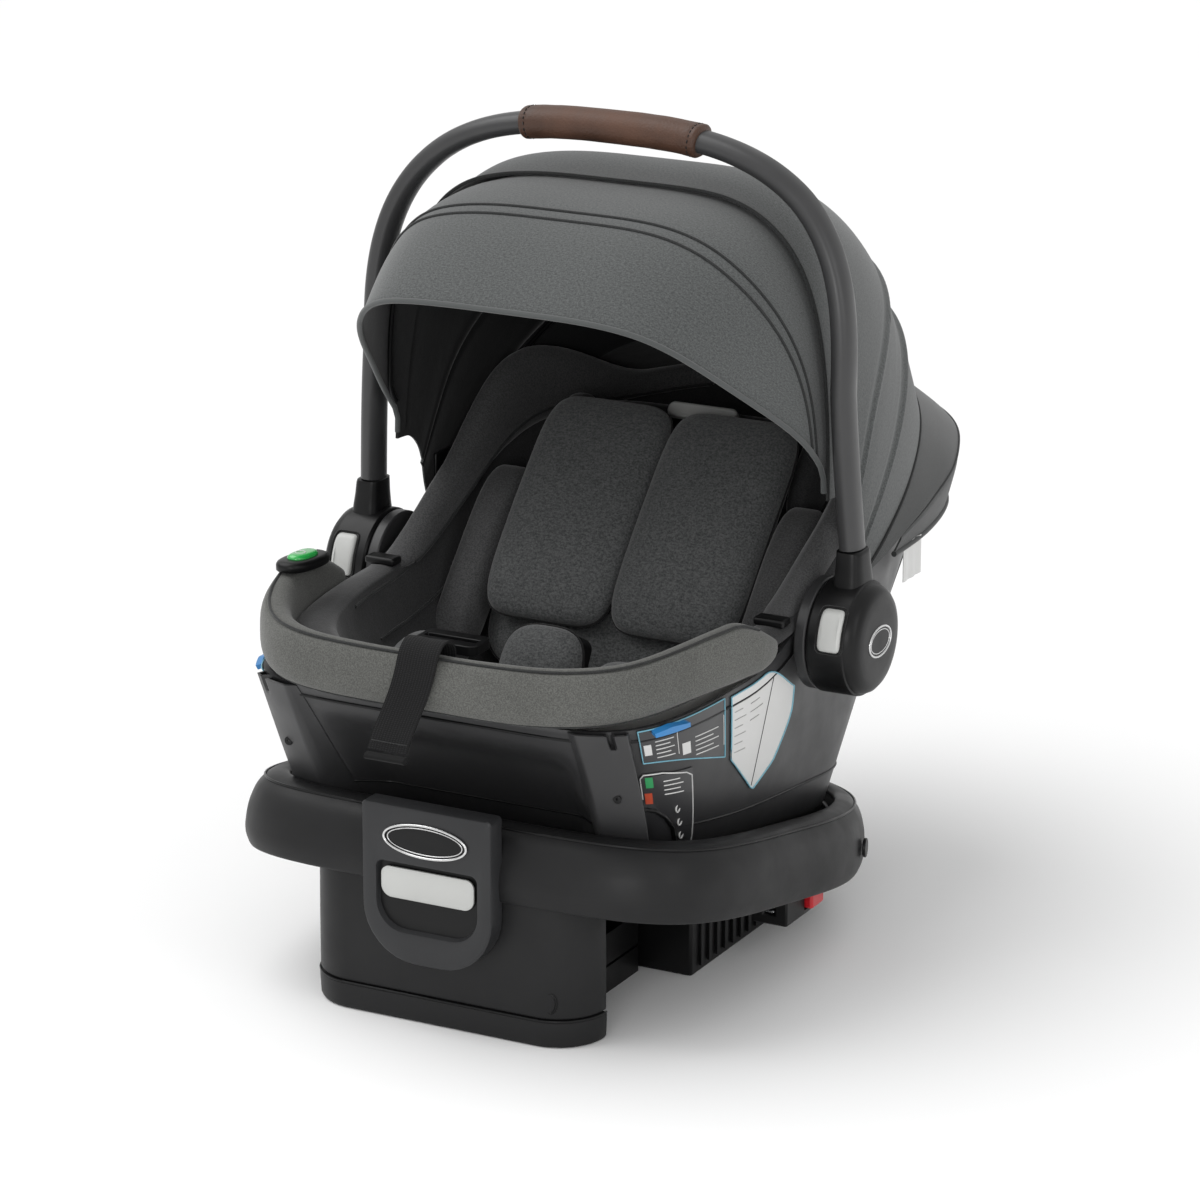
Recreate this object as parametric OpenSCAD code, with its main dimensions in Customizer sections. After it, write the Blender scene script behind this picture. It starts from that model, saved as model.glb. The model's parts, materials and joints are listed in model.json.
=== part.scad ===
// Rear-facing infant car seat: a carrier with handle and canopy, latched on a vehicle base.
// Millimetres. +Z is up, -Y is the foot end, +Y is the head end, X = 0 is the symmetry plane.
// The origin lies on the floor, under the middle of the object.

/* [Base] */
// Half width of the base ring's centre line
ring_half_w = 185; // [184:1:188]
// Nose-up tilt of the base ring, in degrees
ring_tilt = 11; // [10:0.5:12]
// Half width of the telescoping foot
foot_half_w = 110; // [106:1:112]
// Height of the foot's front box at rest
foot_h = 106; // [100:1:108]

/* [Carrier] */
// Half width of the carrier shell at its rim
shell_half_w = 165; // [163:1:166]
// Wall thickness of the carrier shell
shell_wall = 4; // [3:0.5:5]
// Thickness of the foam liner
foam_t = 7; // [5:1:7]
// Thickness of the seat cover
cover_t = 3; // [2:0.5:4]

/* [Handle] */
// Height of the handle's turning axis above the floor
hub_z = 242; // [241:1:243]
// Radius of the round hub covers
hub_r = 41; // [40:1:42]
// Distance from the turning axis to the middle of the grip
handle_reach = 339; // [337:1:342]
// Half length of the leather grip
grip_half = 80; // [74:1:86]

/* [Canopy] */
// Half width of the canopy between the handle arms
canopy_half_w = 174.4; // [173.4:0.5:174.9]
// Radius of the front canopy panel about the hub axis
canopy_r = 300; // [297:1:301]
// Step in radius from one canopy panel to the next
canopy_step = 9; // [6.5:0.5:9]

/* [Hidden] */

$fn = 64;
gap = 0.4;                        // clearance between neighbouring bodies
hub_y = -46;                      // the handle's turning axis
hub_in = 167;                     // inner end of the hub mount on the shell's side
hub_split = 176;                  // plane between hub mount and hub cover
hub_out = 214;                    // outer face of the hub cover
axle_r = 12;                      // stub axle that the hub cover turns on
axle_clear = 0.05;                // running clearance on the axle
handle_lean = 2;                  // the handle leans this far towards the head end
ring_y0 = -90;                    // ring's middle along Y
ring_z0 = 90;                     // ring's centre plane there
ring_front = 200;                 // ring's reach to the front from ring_y0
ring_rear = 208;                  // ring's reach to the rear
foot_front = -290;                // front face of the foot
foot_back = -254;                 // rear face of the foot's front box
recline = 47.7;                   // slope of the seat back

function sgn(v) = v < 0 ? -1 : 1;
function mix(a, b, t) = a + (b - a) * t;
function clamp01(t) = min(1, max(0, t));
function smooth(t) = clamp01(t) * clamp01(t) * (3 - 2 * clamp01(t));

// Point of a rounded plan outline: half width a, reach f to the front and r to the rear.
// ef and er are the corner exponents: 2 is an ellipse, larger is squarer.
function plan_pt(a, f, r, ef, er, angle) =
    let (e = sin(angle) < 0 ? ef : er, reach = sin(angle) < 0 ? f : r)
    [a * sgn(cos(angle)) * pow(abs(cos(angle)), 2 / e),
     reach * sgn(sin(angle)) * pow(abs(sin(angle)), 2 / e)];

// Solid through a list of rings with equal point counts, closed at both ends.
module loft(rings) {
    n = len(rings[0]);
    m = len(rings);
    side = [for (j = [0:m - 2], i = [0:n - 1], k = [0, 1])
        let (i2 = (i + 1) % n)
        k == 0 ? [j * n + i, (j + 1) * n + i, (j + 1) * n + i2] : [j * n + i, (j + 1) * n + i2, j * n + i2]];
    first = [for (i = [0:n - 1]) i];
    last = [for (i = [n - 1:-1:0]) (m - 1) * n + i];
    polyhedron([for (ring = rings) each ring], concat(side, [first, last]));
}

// Closed loop through a list of sections, such as a ring or a tyre.
module loop(sections) {
    n = len(sections[0]);
    m = len(sections);
    faces = [for (j = [0:m - 1], i = [0:n - 1], k = [0, 1])
        let (i2 = (i + 1) % n, j2 = (j + 1) % m)
        k == 0 ? [j * n + i, j2 * n + i2, j2 * n + i] : [j * n + i, j * n + i2, j2 * n + i2]];
    polyhedron([for (s = sections) each s], faces);
}

module both_sides() {
    children();
    mirror([1, 0, 0]) children();
}

// Flat pad with rounded corners, centred, lying on z = 0.
module pad(w, l, t, r) {
    linear_extrude(t) rounded_rect(w, l, r);
}

module rounded_rect(w, l, r) {
    union() {
        square([w - 2 * r, l], center = true);
        square([w, l - 2 * r], center = true);
        for (x = [-1, 1], y = [-1, 1])
            translate([x * (w / 2 - r), y * (l / 2 - r)]) circle(r);
    }
}

// Cylinder along X from x0 to x1 on the handle's turning axis.
module hub_cylinder(x0, x1, r) {
    translate([x0, hub_y, hub_z]) rotate([0, 90, 0]) cylinder(h = x1 - x0, r = r);
}

// Frame of the seat back: local X is across, local Y runs up the back, local Z leaves it.
module on_back(y, z) {
    translate([0, y, z]) rotate([recline, 0, 0]) children();
}

// Frame of the base ring's tilted plane.
module on_ring() {
    translate([0, ring_y0, ring_z0]) rotate([-ring_tilt, 0, 0]) children();
}

// ---------------------------------------------------------------- base

// Channel section of the base ring: [outward, up] from its centre line.
ring_section = [[3, -27], [7, -16], [6, 2], [2, 16], [-5, 25], [-16, 27], [-18, 22], [-14, 18],
    [-7, 20], [-1, 13], [3, 1], [4, -15], [0, -27]];
ring_steps = 72;

function ring_point(i, out, up) =
    let (angle = 360 * i / ring_steps,
         p = plan_pt(ring_half_w + out, ring_front + out, ring_rear + out, 4.8, 2.5, angle))
    [p[0], p[1], up];

module base_ring() {
    color("#2b2b2d") on_ring()
        loop([for (i = [0:ring_steps - 1]) [for (q = ring_section) ring_point(i, q[0], q[1])]]);
}

deck_in = 19.5;                   // the deck's edge lies this far inside the ring's centre line
deck_front = -248;                // the deck starts behind the foot's front box

module deck_outline(inset) {
    polygon([for (i = [0:ring_steps - 1])
        plan_pt(ring_half_w - inset, ring_front - inset, ring_rear - inset, 4.8, 2.5, 360 * i / ring_steps)]);
}

module base_deck() {
    upstand = 18;
    deck_t = 4;
    wall = 3;
    front_cut = deck_front - ring_y0;
    color("#1d1d1f") on_ring() difference() {
        union() {
            translate([0, 0, -10]) linear_extrude(deck_t) deck_outline(deck_in);
            translate([0, 0, -10]) linear_extrude(upstand + 9) difference() {
                deck_outline(deck_in);
                deck_outline(deck_in + wall);
            }
        }
        translate([-200, front_cut - 100, -30]) cube([400, 100, 70]);
    }
}

// Side outline of the base's lower body: flat on the floor, rising to the rear.
tub_side = [[-126, 0], [34, 0], [80, 20], [80, 44], [-126, 84]];
tub_side_in = [[-122, -1], [32, -1], [76, 18], [76, 38], [-122, 77]];
tub_half_w = 110;

module side_prism(points, half_w) {
    side_prism_at(points, -half_w, half_w);
}

module side_prism_at(points, x0, x1) {
    rotate([90, 0, 90]) translate([0, 0, x0]) linear_extrude(x1 - x0) polygon(points);
}

module base_tub() {
    tub_wall = 4;
    color("#1b1b1c") difference() {
        side_prism(tub_side, tub_half_w);
        side_prism(tub_side_in, tub_half_w - tub_wall);
    }
}

module tub_ribs() {
    rib_t = 3;
    color("#1b1b1c") for (x = [-72, -36, 0, 36, 72])
        translate([x, 0, 0]) side_prism([[-121, 2], [30, 2], [74, 20], [74, 34], [-121, 74]], rib_t / 2);
}

// U-shaped front panel with a pocket for the fingers.
panel_front = -307;
panel_back = -298;
module panel_outline(half_w, low, high) {
    union() {
        translate([-half_w, low + half_w]) square([2 * half_w, high - low - half_w]);
        intersection() {
            translate([0, low + half_w]) circle(half_w);
            translate([-half_w, low]) square([2 * half_w, half_w]);
        }
    }
}

module front_panel() {
    pocket_w = 78;
    pocket_low = 76;
    pocket_high = 119;
    color("#3a3b3d") difference() {
        translate([0, panel_back, 0]) rotate([90, 0, 0]) linear_extrude(panel_back - panel_front)
            panel_outline(50, 50, 163);
        translate([-pocket_w / 2, panel_front - 1, pocket_low])
            cube([pocket_w, 20, pocket_high - pocket_low]);
    }
}

module panel_badge() {
    badge_t = 1.5;
    color("#c9c9c9") translate([0, panel_front - gap / 4, 141]) rotate([90, 0, 0])
        linear_extrude(badge_t) intersection() {
            translate([0, -40]) circle(50);
            translate([0, 40]) circle(50);
        }
}

lever_y = -302;                   // pivot of the recline lever
lever_z = 114;
module recline_lever() {
    half_w = 36;
    color("#c4c5c4") union() {
        translate([-half_w, lever_y, lever_z]) rotate([0, 90, 0]) cylinder(h = 2 * half_w, r = 3);
        translate([-half_w, lever_y - 2, lever_z - 26]) cube([2 * half_w, 4, 26]);
        translate([-half_w, lever_y - 2, lever_z - 26]) rotate([0, 90, 0]) cylinder(h = 2 * half_w, r = 2);
    }
}

module lever_spring() {
    color("#8d8f92") for (x = [-20, 20]) translate([x, lever_y + 2.4, lever_z - 16]) rotate([-90, 0, 0])
        difference() {
            cylinder(h = 2.4, r = 4);
            translate([0, 0, -1]) cylinder(h = 5, r = 3);
        }
}

module foot_plan(inset) {
    r = 36 - inset;
    corner_x = foot_half_w - inset - r;
    depth = foot_back - foot_front - 2 * inset;
    union() {
        translate([-corner_x, foot_front + inset]) square([2 * corner_x, depth]);
        for (s = [-1, 1]) intersection() {
            translate([s * corner_x, foot_front + inset + r]) circle(r);
            translate([s * corner_x - r, foot_front + inset]) square([2 * r, depth]);
        }
        translate([-72 + inset, foot_back - 30]) square([2 * (72 - inset), 152 - inset]);
    }
}

foot_neck_h = 44;
sole_h = 20;
module foot() {
    wall = 3.5;
    color("#202021") difference() {
        translate([0, 0, sole_h + gap]) linear_extrude(foot_h - sole_h - gap) foot_plan(0);
        translate([0, 0, sole_h + 4]) linear_extrude(foot_h) foot_plan(wall);
        translate([-80, foot_back, foot_neck_h]) cube([160, 130, 80]);
    }
}

module foot_sole() {
    color("#262627") linear_extrude(sole_h) foot_plan(-0.6);
}

// Lower anchor connectors, parked at the rear corners of the base.
anchor_x = 146;
anchor_y = -42;
anchor_z = 41;
module anchor_connectors() {
    color("#151515") both_sides() translate([anchor_x - 14, anchor_y - 34, anchor_z - 12]) difference() {
        cube([28, 60, 24]);
        translate([10, -1, 8]) cube([8, 42, 8]);
        translate([20.5, 30, 3]) cube([8.5, 22, 18]);
    }
}

module anchor_jaws() {
    color("#9a9c9e") both_sides() translate([anchor_x - 3.6, anchor_y - 33, anchor_z - 3.5]) difference() {
        cube([7.2, 34, 7]);
        translate([-1, -1, 2]) cube([10, 12, 3]);
    }
}

module anchor_button() {
    color("#b3121b") translate([anchor_x + 10, anchor_y - 3, anchor_z - 8]) cube([9, 20, 16]);
}

module anchor_button_left() {
    mirror([1, 0, 0]) anchor_button();
}

module anchor_button_right() {
    anchor_button();
}

module pivot_caps() {
    cap_y = 2;
    cap_z = 68;
    side_slope = 16;
    color("#111111") both_sides() translate([182.6, cap_y, cap_z]) rotate([0, 0, side_slope])
        rotate([0, 90, 0]) cylinder(h = 2.4, r = 7);
}

// Steel bars across the base that the carrier's hooks hold.
bar_front_y = -206;
bar_rear_y = 44;
bar_lift = 5.5;                   // height of the bars above the deck
function deck_top(y) = ring_z0 - 6 - (y - ring_y0) * tan(ring_tilt);
module latch_bars() {
    bar_half = 60;
    bar_r = 3;
    color("#a9abad") for (y = [bar_front_y, bar_rear_y]) {
        translate([-bar_half, y, deck_top(y) + bar_lift]) rotate([0, 90, 0])
            cylinder(h = 2 * bar_half, r = bar_r);
        for (x = [-bar_half - 3, bar_half - 3])
            translate([x, y - 5, deck_top(y) + 1.5]) cube([6, 10, 7.5]);
    }
}

// ---------------------------------------------------------------- carrier shell and seat

shell_steps = 56;
function rim_z(y) = 255 + 67 * smooth((y + 110) / 230);
function shell_rim_z(y) = 235 + 65 * smooth((y + 150) / 250);
function shell_floor_z(y) = 86 - 0.194 * y;

// Outer face of the shell at height share t (0 = underside, 1 = rim), moved in by inset.
function shell_ring(t, inset, lift) = [for (i = [0:shell_steps - 1])
    let (a = mix(140, shell_half_w, pow(t, 0.7)) - inset,
         f = mix(236, 302, t) - inset,
         r = mix(66, 306, pow(t, 1.15)) - inset,
         p = plan_pt(a, f, r, 6.5, 2.7, 360 * i / shell_steps),
         y = p[1] + recess(p, t))
    [p[0], y, mix(shell_floor_z(y), shell_rim_z(p[1]), t) + lift]];

// Depth of the arched recess in the shell's front wall.
function recess(p, t) = p[1] > -180 ? 0 : 22 * smooth((100 - abs(p[0])) / 30) * smooth((0.78 - t) / 0.25);

module carrier_shell() {
    color("#1c1c1e") loft(concat(
        [shell_ring(0, 14, -6)],
        [for (t = [0:0.125:1]) shell_ring(t, 0, 0)],
        [for (t = [1:-0.125:0]) shell_ring(t, shell_wall, 0)],
        [shell_ring(0, 17, -2)]));
}

// Inside of the seat: s = 0 at its rim, 1 at its floor; grow makes it larger all round.
seat_floor_z = 152;
function seat_ring(s, grow) = [for (i = [0:shell_steps - 1])
    let (a = 145 - 57 * pow(s, 1.6) + grow,
         f = 278 - 96 * pow(s, 1.3) + grow,
         r = max(292 - 340 * pow(s, 0.85), 8 - 4 * s) + grow,
         p = plan_pt(a, f, r, 3.2, 2.4, 360 * i / shell_steps))
    [p[0], p[1], mix(rim_z(p[1]), seat_floor_z, s) - grow * s]];

function bowl(grow_in, grow_out) = concat(
    [for (s = [1:-0.125:0]) seat_ring(s, grow_out)],
    [for (s = [0:0.125:1]) seat_ring(s, grow_in)]);

foam_gap = 3;                     // room between the seat cover and the foam under it
module foam_liner() {
    color("#d8d8d4") loft([for (ring = bowl(cover_t + foam_gap, cover_t + foam_gap + foam_t))
        [for (p = ring) [p[0], p[1], p[2] - foam_gap]]]);
}

module seat_cover() {
    color("#232325") loft(bowl(0, cover_t));
}

// Padded rim cover from one hub round the foot end to the other.
rim_steps = 40;
rim_sides = 12;
rim_a = 174;                      // half width of the rim cover's middle line
rim_f = 312;                      // its reach to the front
rim_half_t = 10;                  // half thickness
rim_half_h = 20;                  // half height
function rim_mid_z(y) = 257 + 8 * smooth((y + 300) / 100) - 10 * smooth((y + 185) / 60);
function rim_section(angle) =
    let (mid_y = plan_pt(rim_a, rim_f, rim_f, 3.7, 3.7, angle)[1])
    [for (k = [0:rim_sides - 1])
        let (c = 360 * k / rim_sides, grow = rim_half_t * cos(c),
             out = plan_pt(rim_a + grow, rim_f + grow, rim_f, 3.7, 3.7, angle))
        [out[0], out[1], rim_mid_z(mid_y) + mix(rim_half_h, 12, smooth((mid_y + 185) / 60)) * sin(c)]];

module rim_cover() {
    start = 10.5;
    color("#55554f") loft([for (j = [0:rim_steps]) rim_section(-start - (180 - 2 * start) * j / rim_steps)]);
}

// Wedge pillars at the front corners of the shell, each with a slot at its top.
pillar_x = 120;
module shell_pillars() {
    pillar_side = [[-290, 153.6], [-254.4, 153.6], [-303, 235], [-314, 235]];
    color("#1a1a1b") both_sides() difference() {
        side_prism_at(pillar_side, pillar_x - 15, pillar_x + 15);
        translate([pillar_x + 4, -320, 214]) cube([5, 30, 30]);
    }
}

module shell_screws() {
    screw_y = -304.05;
    screw_z = 201.2;
    lean = 16.5;                  // slope of the pillar's front face
    color("#0d0d0d") both_sides() translate([pillar_x - 2, screw_y, screw_z]) rotate([90 + lean, 0, 0])
        cylinder(h = 2, r = 3);
}

// Patch lying on the shell's right wall, from angle a0 to a1 and from height share t0 to t1.
function shell_point(t, angle, out) =
    let (a = mix(140, shell_half_w, pow(t, 0.7)) + out,
         f = mix(236, 302, t) + out,
         p = plan_pt(a, f, 100, 6.5, 2.3, angle))
    [p[0], p[1], mix(shell_floor_z(p[1]), shell_rim_z(p[1]), t)];
module shell_patch(a0, a1, t0, t1, low, high) {
    steps = 6;
    loft([for (j = [0:steps]) let (angle = mix(a0, a1, j / steps))
        [shell_point(t0, angle, low), shell_point(mix(t0, t1, 0.5), angle, low), shell_point(t1, angle, low),
         shell_point(t1, angle, high), shell_point(mix(t0, t1, 0.5), angle, high),
         shell_point(t0, angle, high)]]);
}

module label_panels() {
    film = 0.8;
    color("#e8e8e6") both_sides() {
        shell_patch(-44, -28, 0.62, 0.93, gap, gap + film);
        shell_patch(-26, -8, 0.45, 0.93, gap, gap + film);
        shell_patch(-52, -38, 0.12, 0.5, gap, gap + film);
    }
}

// Guides that hold the vehicle's lap belt when the carrier is used without its base.
module belt_guides() {
    color("#1f7fd6") both_sides() shell_patch(-46, -30, 0.945, 0.998, 1.6, 6);
}

module belt_hooks() {
    color("#121212") both_sides() translate([143, -101, 258]) cube([24, 13, 6]);
}

module level_housing() {
    color("#1a1a1a") translate([-158, -200, 285.6]) difference() {
        pad(26, 48, 8, 8);
        translate([0, 0, 3]) pad(18, 38, 10, 8);
    }
}

module level_vial() {
    color("#2fb344") translate([-158, -200, 289]) pad(17, 37, 6, 8);
}

// Fixed hub mounts with the stub axles that carry the handle.
module hub_mounts() {
    color("#161616") both_sides() union() {
        hub_cylinder(hub_in, hub_split - gap, 40);
        hub_cylinder(hub_in, hub_out - 4, axle_r);
    }
}

module canopy_clips() {
    color("#161616") both_sides() translate([165.6, 2, 268]) cube([2.4, 26, 46]);
}

// Release handle under the head end, and the hooks that it draws back.
release_y = 183.6;
release_z = 176;
module release_handle() {
    color("#2b2b2d") union() {
        translate([-48, release_y, release_z]) rotate([0, 90, 0]) cylinder(h = 96, r = 5);
        translate([-48, release_y - 4, release_z - 36]) cube([96, 8, 34]);
    }
}

module latch_hooks() {
    color("#a9abad") for (y = [bar_front_y, bar_rear_y], x = [-33, 27])
        translate([x, y + 3.5, deck_top(y) + 5.2]) cube([6, 12, 4.6]);
}

// ---------------------------------------------------------------- seat contents

// Point on the plane that the insert's back lies in.
back_y = -32;
back_z = 220;

module back_cushion() {
    color("#3c3f40") on_back(back_y, back_z) translate([0, 28, -26.5]) pad(212, 146, 26, 34);
}

// The insert's two halves meet at a groove on the centre line.
insert_t = 30;
module insert_half() {
    on_back(back_y, back_z) translate([49.5, 76, 0]) pad(95, 172, insert_t, 34);
}

module body_insert_left() {
    color("#3c3f40") mirror([1, 0, 0]) insert_half();
}

module body_insert_right() {
    color("#3c3f40") insert_half();
}

module side_bolsters() {
    color("#232325") both_sides() translate([117, -62, 246]) rotate([recline, 0, 0]) pad(16, 96, 26, 7);
}

module hip_pads() {
    color("#3c3f40") both_sides() translate([76, -178, 216]) rotate([14, 0, 0]) pad(40, 56, 18, 14);
}

// Soft pad that hangs in front of the buckle and hides it.
module crotch_pad() {
    color("#3c3f40") translate([0, -138.5, 207.8]) rotate([62, 0, 0]) difference() {
        pad(58, 66, 16, 14);
        translate([0, 0, 5]) cube([44, 80, 6], center = true);
    }
}

module buckle() {
    color("#161616") translate([0, -116, 212]) rotate([62, 0, 0]) difference() {
        pad(46, 40, 16, 8);
        translate([0, -3, 10]) cube([21, 21, 15.6], center = true);
    }
}

module buckle_button() {
    color("#b3121b") translate([0, -116, 212]) rotate([62, 0, 0]) translate([-10, -13, 5.5]) cube([20, 20, 11]);
}

module crotch_strap() {
    color("#1a1a1a") translate([0, -129, 176]) rotate([80, 0, 0]) pad(36, 34, 2, 1);
}

module harness_straps() {
    color("#1a1a1a") both_sides() on_back(back_y, back_z)
        translate([40, 36, -29.2]) pad(30, 130, 1.6, 1);
}

module splitter_plate() {
    color("#a9abad") translate([0, 104, 164]) rotate([40, 0, 0]) difference() {
        pad(70, 30, 2, 6);
        for (x = [-20, 20]) translate([x, 0, -1]) cylinder(h = 4, r = 5);
    }
}

// Harness adjuster strap, out over the front rim with a loop at its end.
strap_half = 15;
strap_x = 6;                      // the strap hangs a little off the centre line
module adjuster_strap() {
    strap_side = [[-324.6, 278], [-328.1, 248.2], [-340.1, 220.3], [-345, 212.3], [-344.5, 207.5],
        [-340, 205.9], [-335.8, 208.3], [-327, 228.5], [-325.9, 247.8], [-322.4, 278]];
    color("#19191a") side_prism_at(strap_side, strap_x - strap_half, strap_x + strap_half);
}

module adjuster_lock() {
    color("#2b2b2d") translate([0, -268, 268]) difference() {
        pad(48, 26, 7, 6);
        translate([0, 0, 3]) cube([40, 6, 12], center = true);
    }
}

module headrest() {
    color("#232325") on_back(back_y, back_z) difference() {
        translate([0, 150, -48]) pad(230, 84, 58, 36);
        translate([-102, 90, -26]) cube([204, 120, 60]);
    }
}

module headrest_handle() {
    color("#e4e4e2") on_back(back_y, back_z) translate([0, 182, -25.5]) pad(56, 12, 8, 5);
}

// ---------------------------------------------------------------- handle

arm_x0 = 193;
arm_x1 = 185;
arm_r0 = 40;
arm_r1 = 172;
arch_exp = 2.85;

// Centre line of the handle: a leaning arm, then a rounded arch; u runs 0..1 from hub to hub.
arm_share = 0.3;
function half_arch(w) = w < arm_share
    ? [mix(arm_x0, arm_x1, w / arm_share), mix(arm_r0, arm_r1, w / arm_share)]
    : let (q = 90 * (w - arm_share) / (1 - arm_share))
      [arm_x1 * pow(abs(cos(q)), 2 / arch_exp),
       arm_r1 + (handle_reach - arm_r1) * pow(abs(sin(q)), 2 / arch_exp)];
function arch(u) = u <= 0.5 ? half_arch(2 * u) : let (p = half_arch(2 - 2 * u)) [-p[0], p[1]];

tube_in = 8;                      // half thickness of the tube in the arch's plane
tube_across = 12;                 // half thickness across it
tube_sides = 14;
arch_steps = 60;
tube_u = 0.0262;                  // the tube starts this far along, on top of the hub cover's neck
function arch_section(u, half_in, half_across) =
    let (a = arch(max(0, u - 0.004)), b = arch(min(1, u + 0.004)), p = arch(u),
         d = (b - a) / norm(b - a), nrm = [d[1], -d[0]])
    [for (k = [0:tube_sides - 1]) let (c = 360 * k / tube_sides)
        [p[0] + nrm[0] * half_in * cos(c), arm_bow(p[1]) + half_across * sin(c),
         p[1] + nrm[1] * half_in * cos(c)]];

// The arms bow a little towards the foot end between the hubs and the arch.
function arm_bow(r) = -8 * sin(180 * clamp01((r - neck_top) / 240));

module on_handle() {
    translate([0, hub_y, hub_z]) rotate([-handle_lean, 0, 0]) children();
}

module handle_tube() {
    color("#3a3b3d") on_handle() loft([for (j = [0:arch_steps])
        arch_section(mix(tube_u, 1 - tube_u, j / arch_steps), tube_in, tube_across)]);
}

module handle_grip() {
    grip_steps = 12;
    grip_q = acos(pow(grip_half / arm_x1, arch_exp / 2));
    grip_u = 0.5 * (arm_share + (1 - arm_share) * grip_q / 90);
    sections = [for (j = [0:grip_steps]) mix(grip_u, 1 - grip_u, j / grip_steps)];
    color("#5c3d2e") on_handle() loop(concat(
        [for (u = sections) arch_section(u, tube_in + 4.4, tube_across + 2.4)],
        [for (u = flip_list(sections)) arch_section(u, tube_in + gap, tube_across + gap)]));
}

neck_top = 62;                    // top of the hub cover's neck, from the axis
button_w = 17;
button_h = 28;
button_x = 186;                   // inner end of the button along X
button_z = 256;                   // its middle, a little above the axis
button_depth = 16;                // from the hub's front face to the button's back
spring_bore = 5;
module button_box(grow, depth) {
    translate([button_x - grow, hub_y - hub_r - 6, button_z - button_h / 2 - grow])
        cube([button_w + 2 * grow, depth + 6, button_h + 2 * grow]);
}

module hub_cover() {
    difference() {
        union() {
            hub_cylinder(hub_split, hub_out - 5, hub_r);
            hub_cylinder(hub_out - 6, hub_out, hub_r - 4);
            on_handle() translate([192.5, 0, 12]) linear_extrude(neck_top - 12) rounded_rect(19, 26, 8);
        }
        hub_cylinder(hub_split - 1, hub_out - 3, axle_r + axle_clear);
        button_box(gap, button_depth + 6);
        hub_cylinder(hub_split - 1, hub_split + 4, 22 + gap);
    }
}

module hub_covers() {
    color("#1b1b1c") both_sides() hub_cover();
}

module hub_badges() {
    color("#c9c9c9") both_sides() translate([hub_out + 0.1, hub_y, hub_z]) rotate([90, 0, 90])
        linear_extrude(1.2) intersection() {
            translate([0, -22]) circle(32);
            translate([0, 22]) circle(32);
        }
}

// Toothed ring that the buttons unlock, fixed on the hub mount's side of the joint.
module hub_gears() {
    teeth = 12;
    color("#9a9c9e") both_sides() translate([hub_split + 0.2, hub_y, hub_z]) rotate([0, 90, 0])
        difference() {
            union() {
                cylinder(h = 3, r = 18);
                for (i = [0:teeth - 1]) rotate(360 * i / teeth) translate([15, -2, 0]) cube([6.4, 4, 3]);
            }
            translate([0, 0, -1]) cylinder(h = 5, r = axle_r + axle_clear);
        }
}

module handle_button_left() {
    color("#c4c5c4") mirror([1, 0, 0]) button_body();
}

module handle_button_right() {
    color("#c4c5c4") button_body();
}

module button_body() {
    difference() {
        intersection() {
            button_box(0, button_depth);
            hub_cylinder(hub_split, hub_out, hub_r + 1.5);
        }
        spring_axis() cylinder(h = 14, r = spring_bore, center = true);
    }
}

// Axis of the button's spring, at the button's back.
module spring_axis() {
    translate([button_x + button_w / 2, hub_y - hub_r + button_depth, button_z - 6]) rotate([-90, 0, 0]) children();
}

module button_springs() {
    color("#8d8f92") both_sides() spring_axis() translate([0, 0, -1.4]) difference() {
        cylinder(h = 7, r = 4);
        translate([0, 0, -1]) cylinder(h = 9, r = 3);
    }
}

// ---------------------------------------------------------------- canopy

canopy_t = 1.5;
side_step = 1.9;                  // each inner panel is this much narrower
canopy_steps = 28;
canopy_rows = 4;
function flip_list(v) = [for (i = [len(v) - 1:-1:0]) v[i]];

// Point of a canopy panel: q runs 0..180 from side to side, a is the angle from upright to the rear.
function dome_pt(q, a, big_r, half_w, e) =
    let (r = big_r * pow(abs(sin(q)), 2 / e))
    [-half_w * sgn(cos(q)) * pow(abs(cos(q)), 2 / e), hub_y + r * sin(a), hub_z + r * cos(a)];

// How far the visor's edge sweeps back towards the sides, in degrees.
function visor_sweep(rho) = 18 * (1 - rho) + 90 * pow(1 - rho, 3);
// The visor curls in ahead of the front bow.
visor_bow = -14;
function visor_curl(a) = 1 - 0.035 * pow(clamp01((visor_bow - a) / 20), 1.5);
function visor_narrow(a) = 1 - 0.11 * smooth((visor_bow + 8 - a) / 28);

// Canopy panel between angles a0 and a1; low is the radius at which its sides end.
module dome_panel(a0, a1, big_r, half_w, e, low, sweep) {
    q0 = asin(pow(low / big_r, e / 2));
    loft([for (i = [0:canopy_steps])
        let (q = mix(q0, 180 - q0, i / canopy_steps), rho = pow(sin(q), 2 / e),
             front = min(a1 - 1, a0 + sweep * visor_sweep(rho)))
        concat([for (k = [0:canopy_rows]) let (a = mix(front, a1, k / canopy_rows), c = visor_curl(a))
                   dome_pt(q, a, big_r * c, half_w * visor_narrow(a), e)],
               [for (k = [canopy_rows:-1:0]) let (a = mix(front, a1, k / canopy_rows), c = visor_curl(a))
                   dome_pt(q, a, big_r * c - canopy_t, half_w * visor_narrow(a) - canopy_t, e)])]);
}

module canopy_front() {
    color("#4a4d4f") dome_panel(-32.5, 1, canopy_r, canopy_half_w - 2 * side_step, 4, 100, 1);
}

module canopy_top() {
    color("#4a4d4f") dome_panel(1.4, 38, canopy_r + canopy_step, canopy_half_w - side_step, 4.2, 96, 0);
}

module canopy_rear() {
    color("#4a4d4f") dome_panel(38.4, drop_top - 0.2, canopy_r + 2 * canopy_step, canopy_half_w, 4.5, 96, 0);
}

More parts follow.
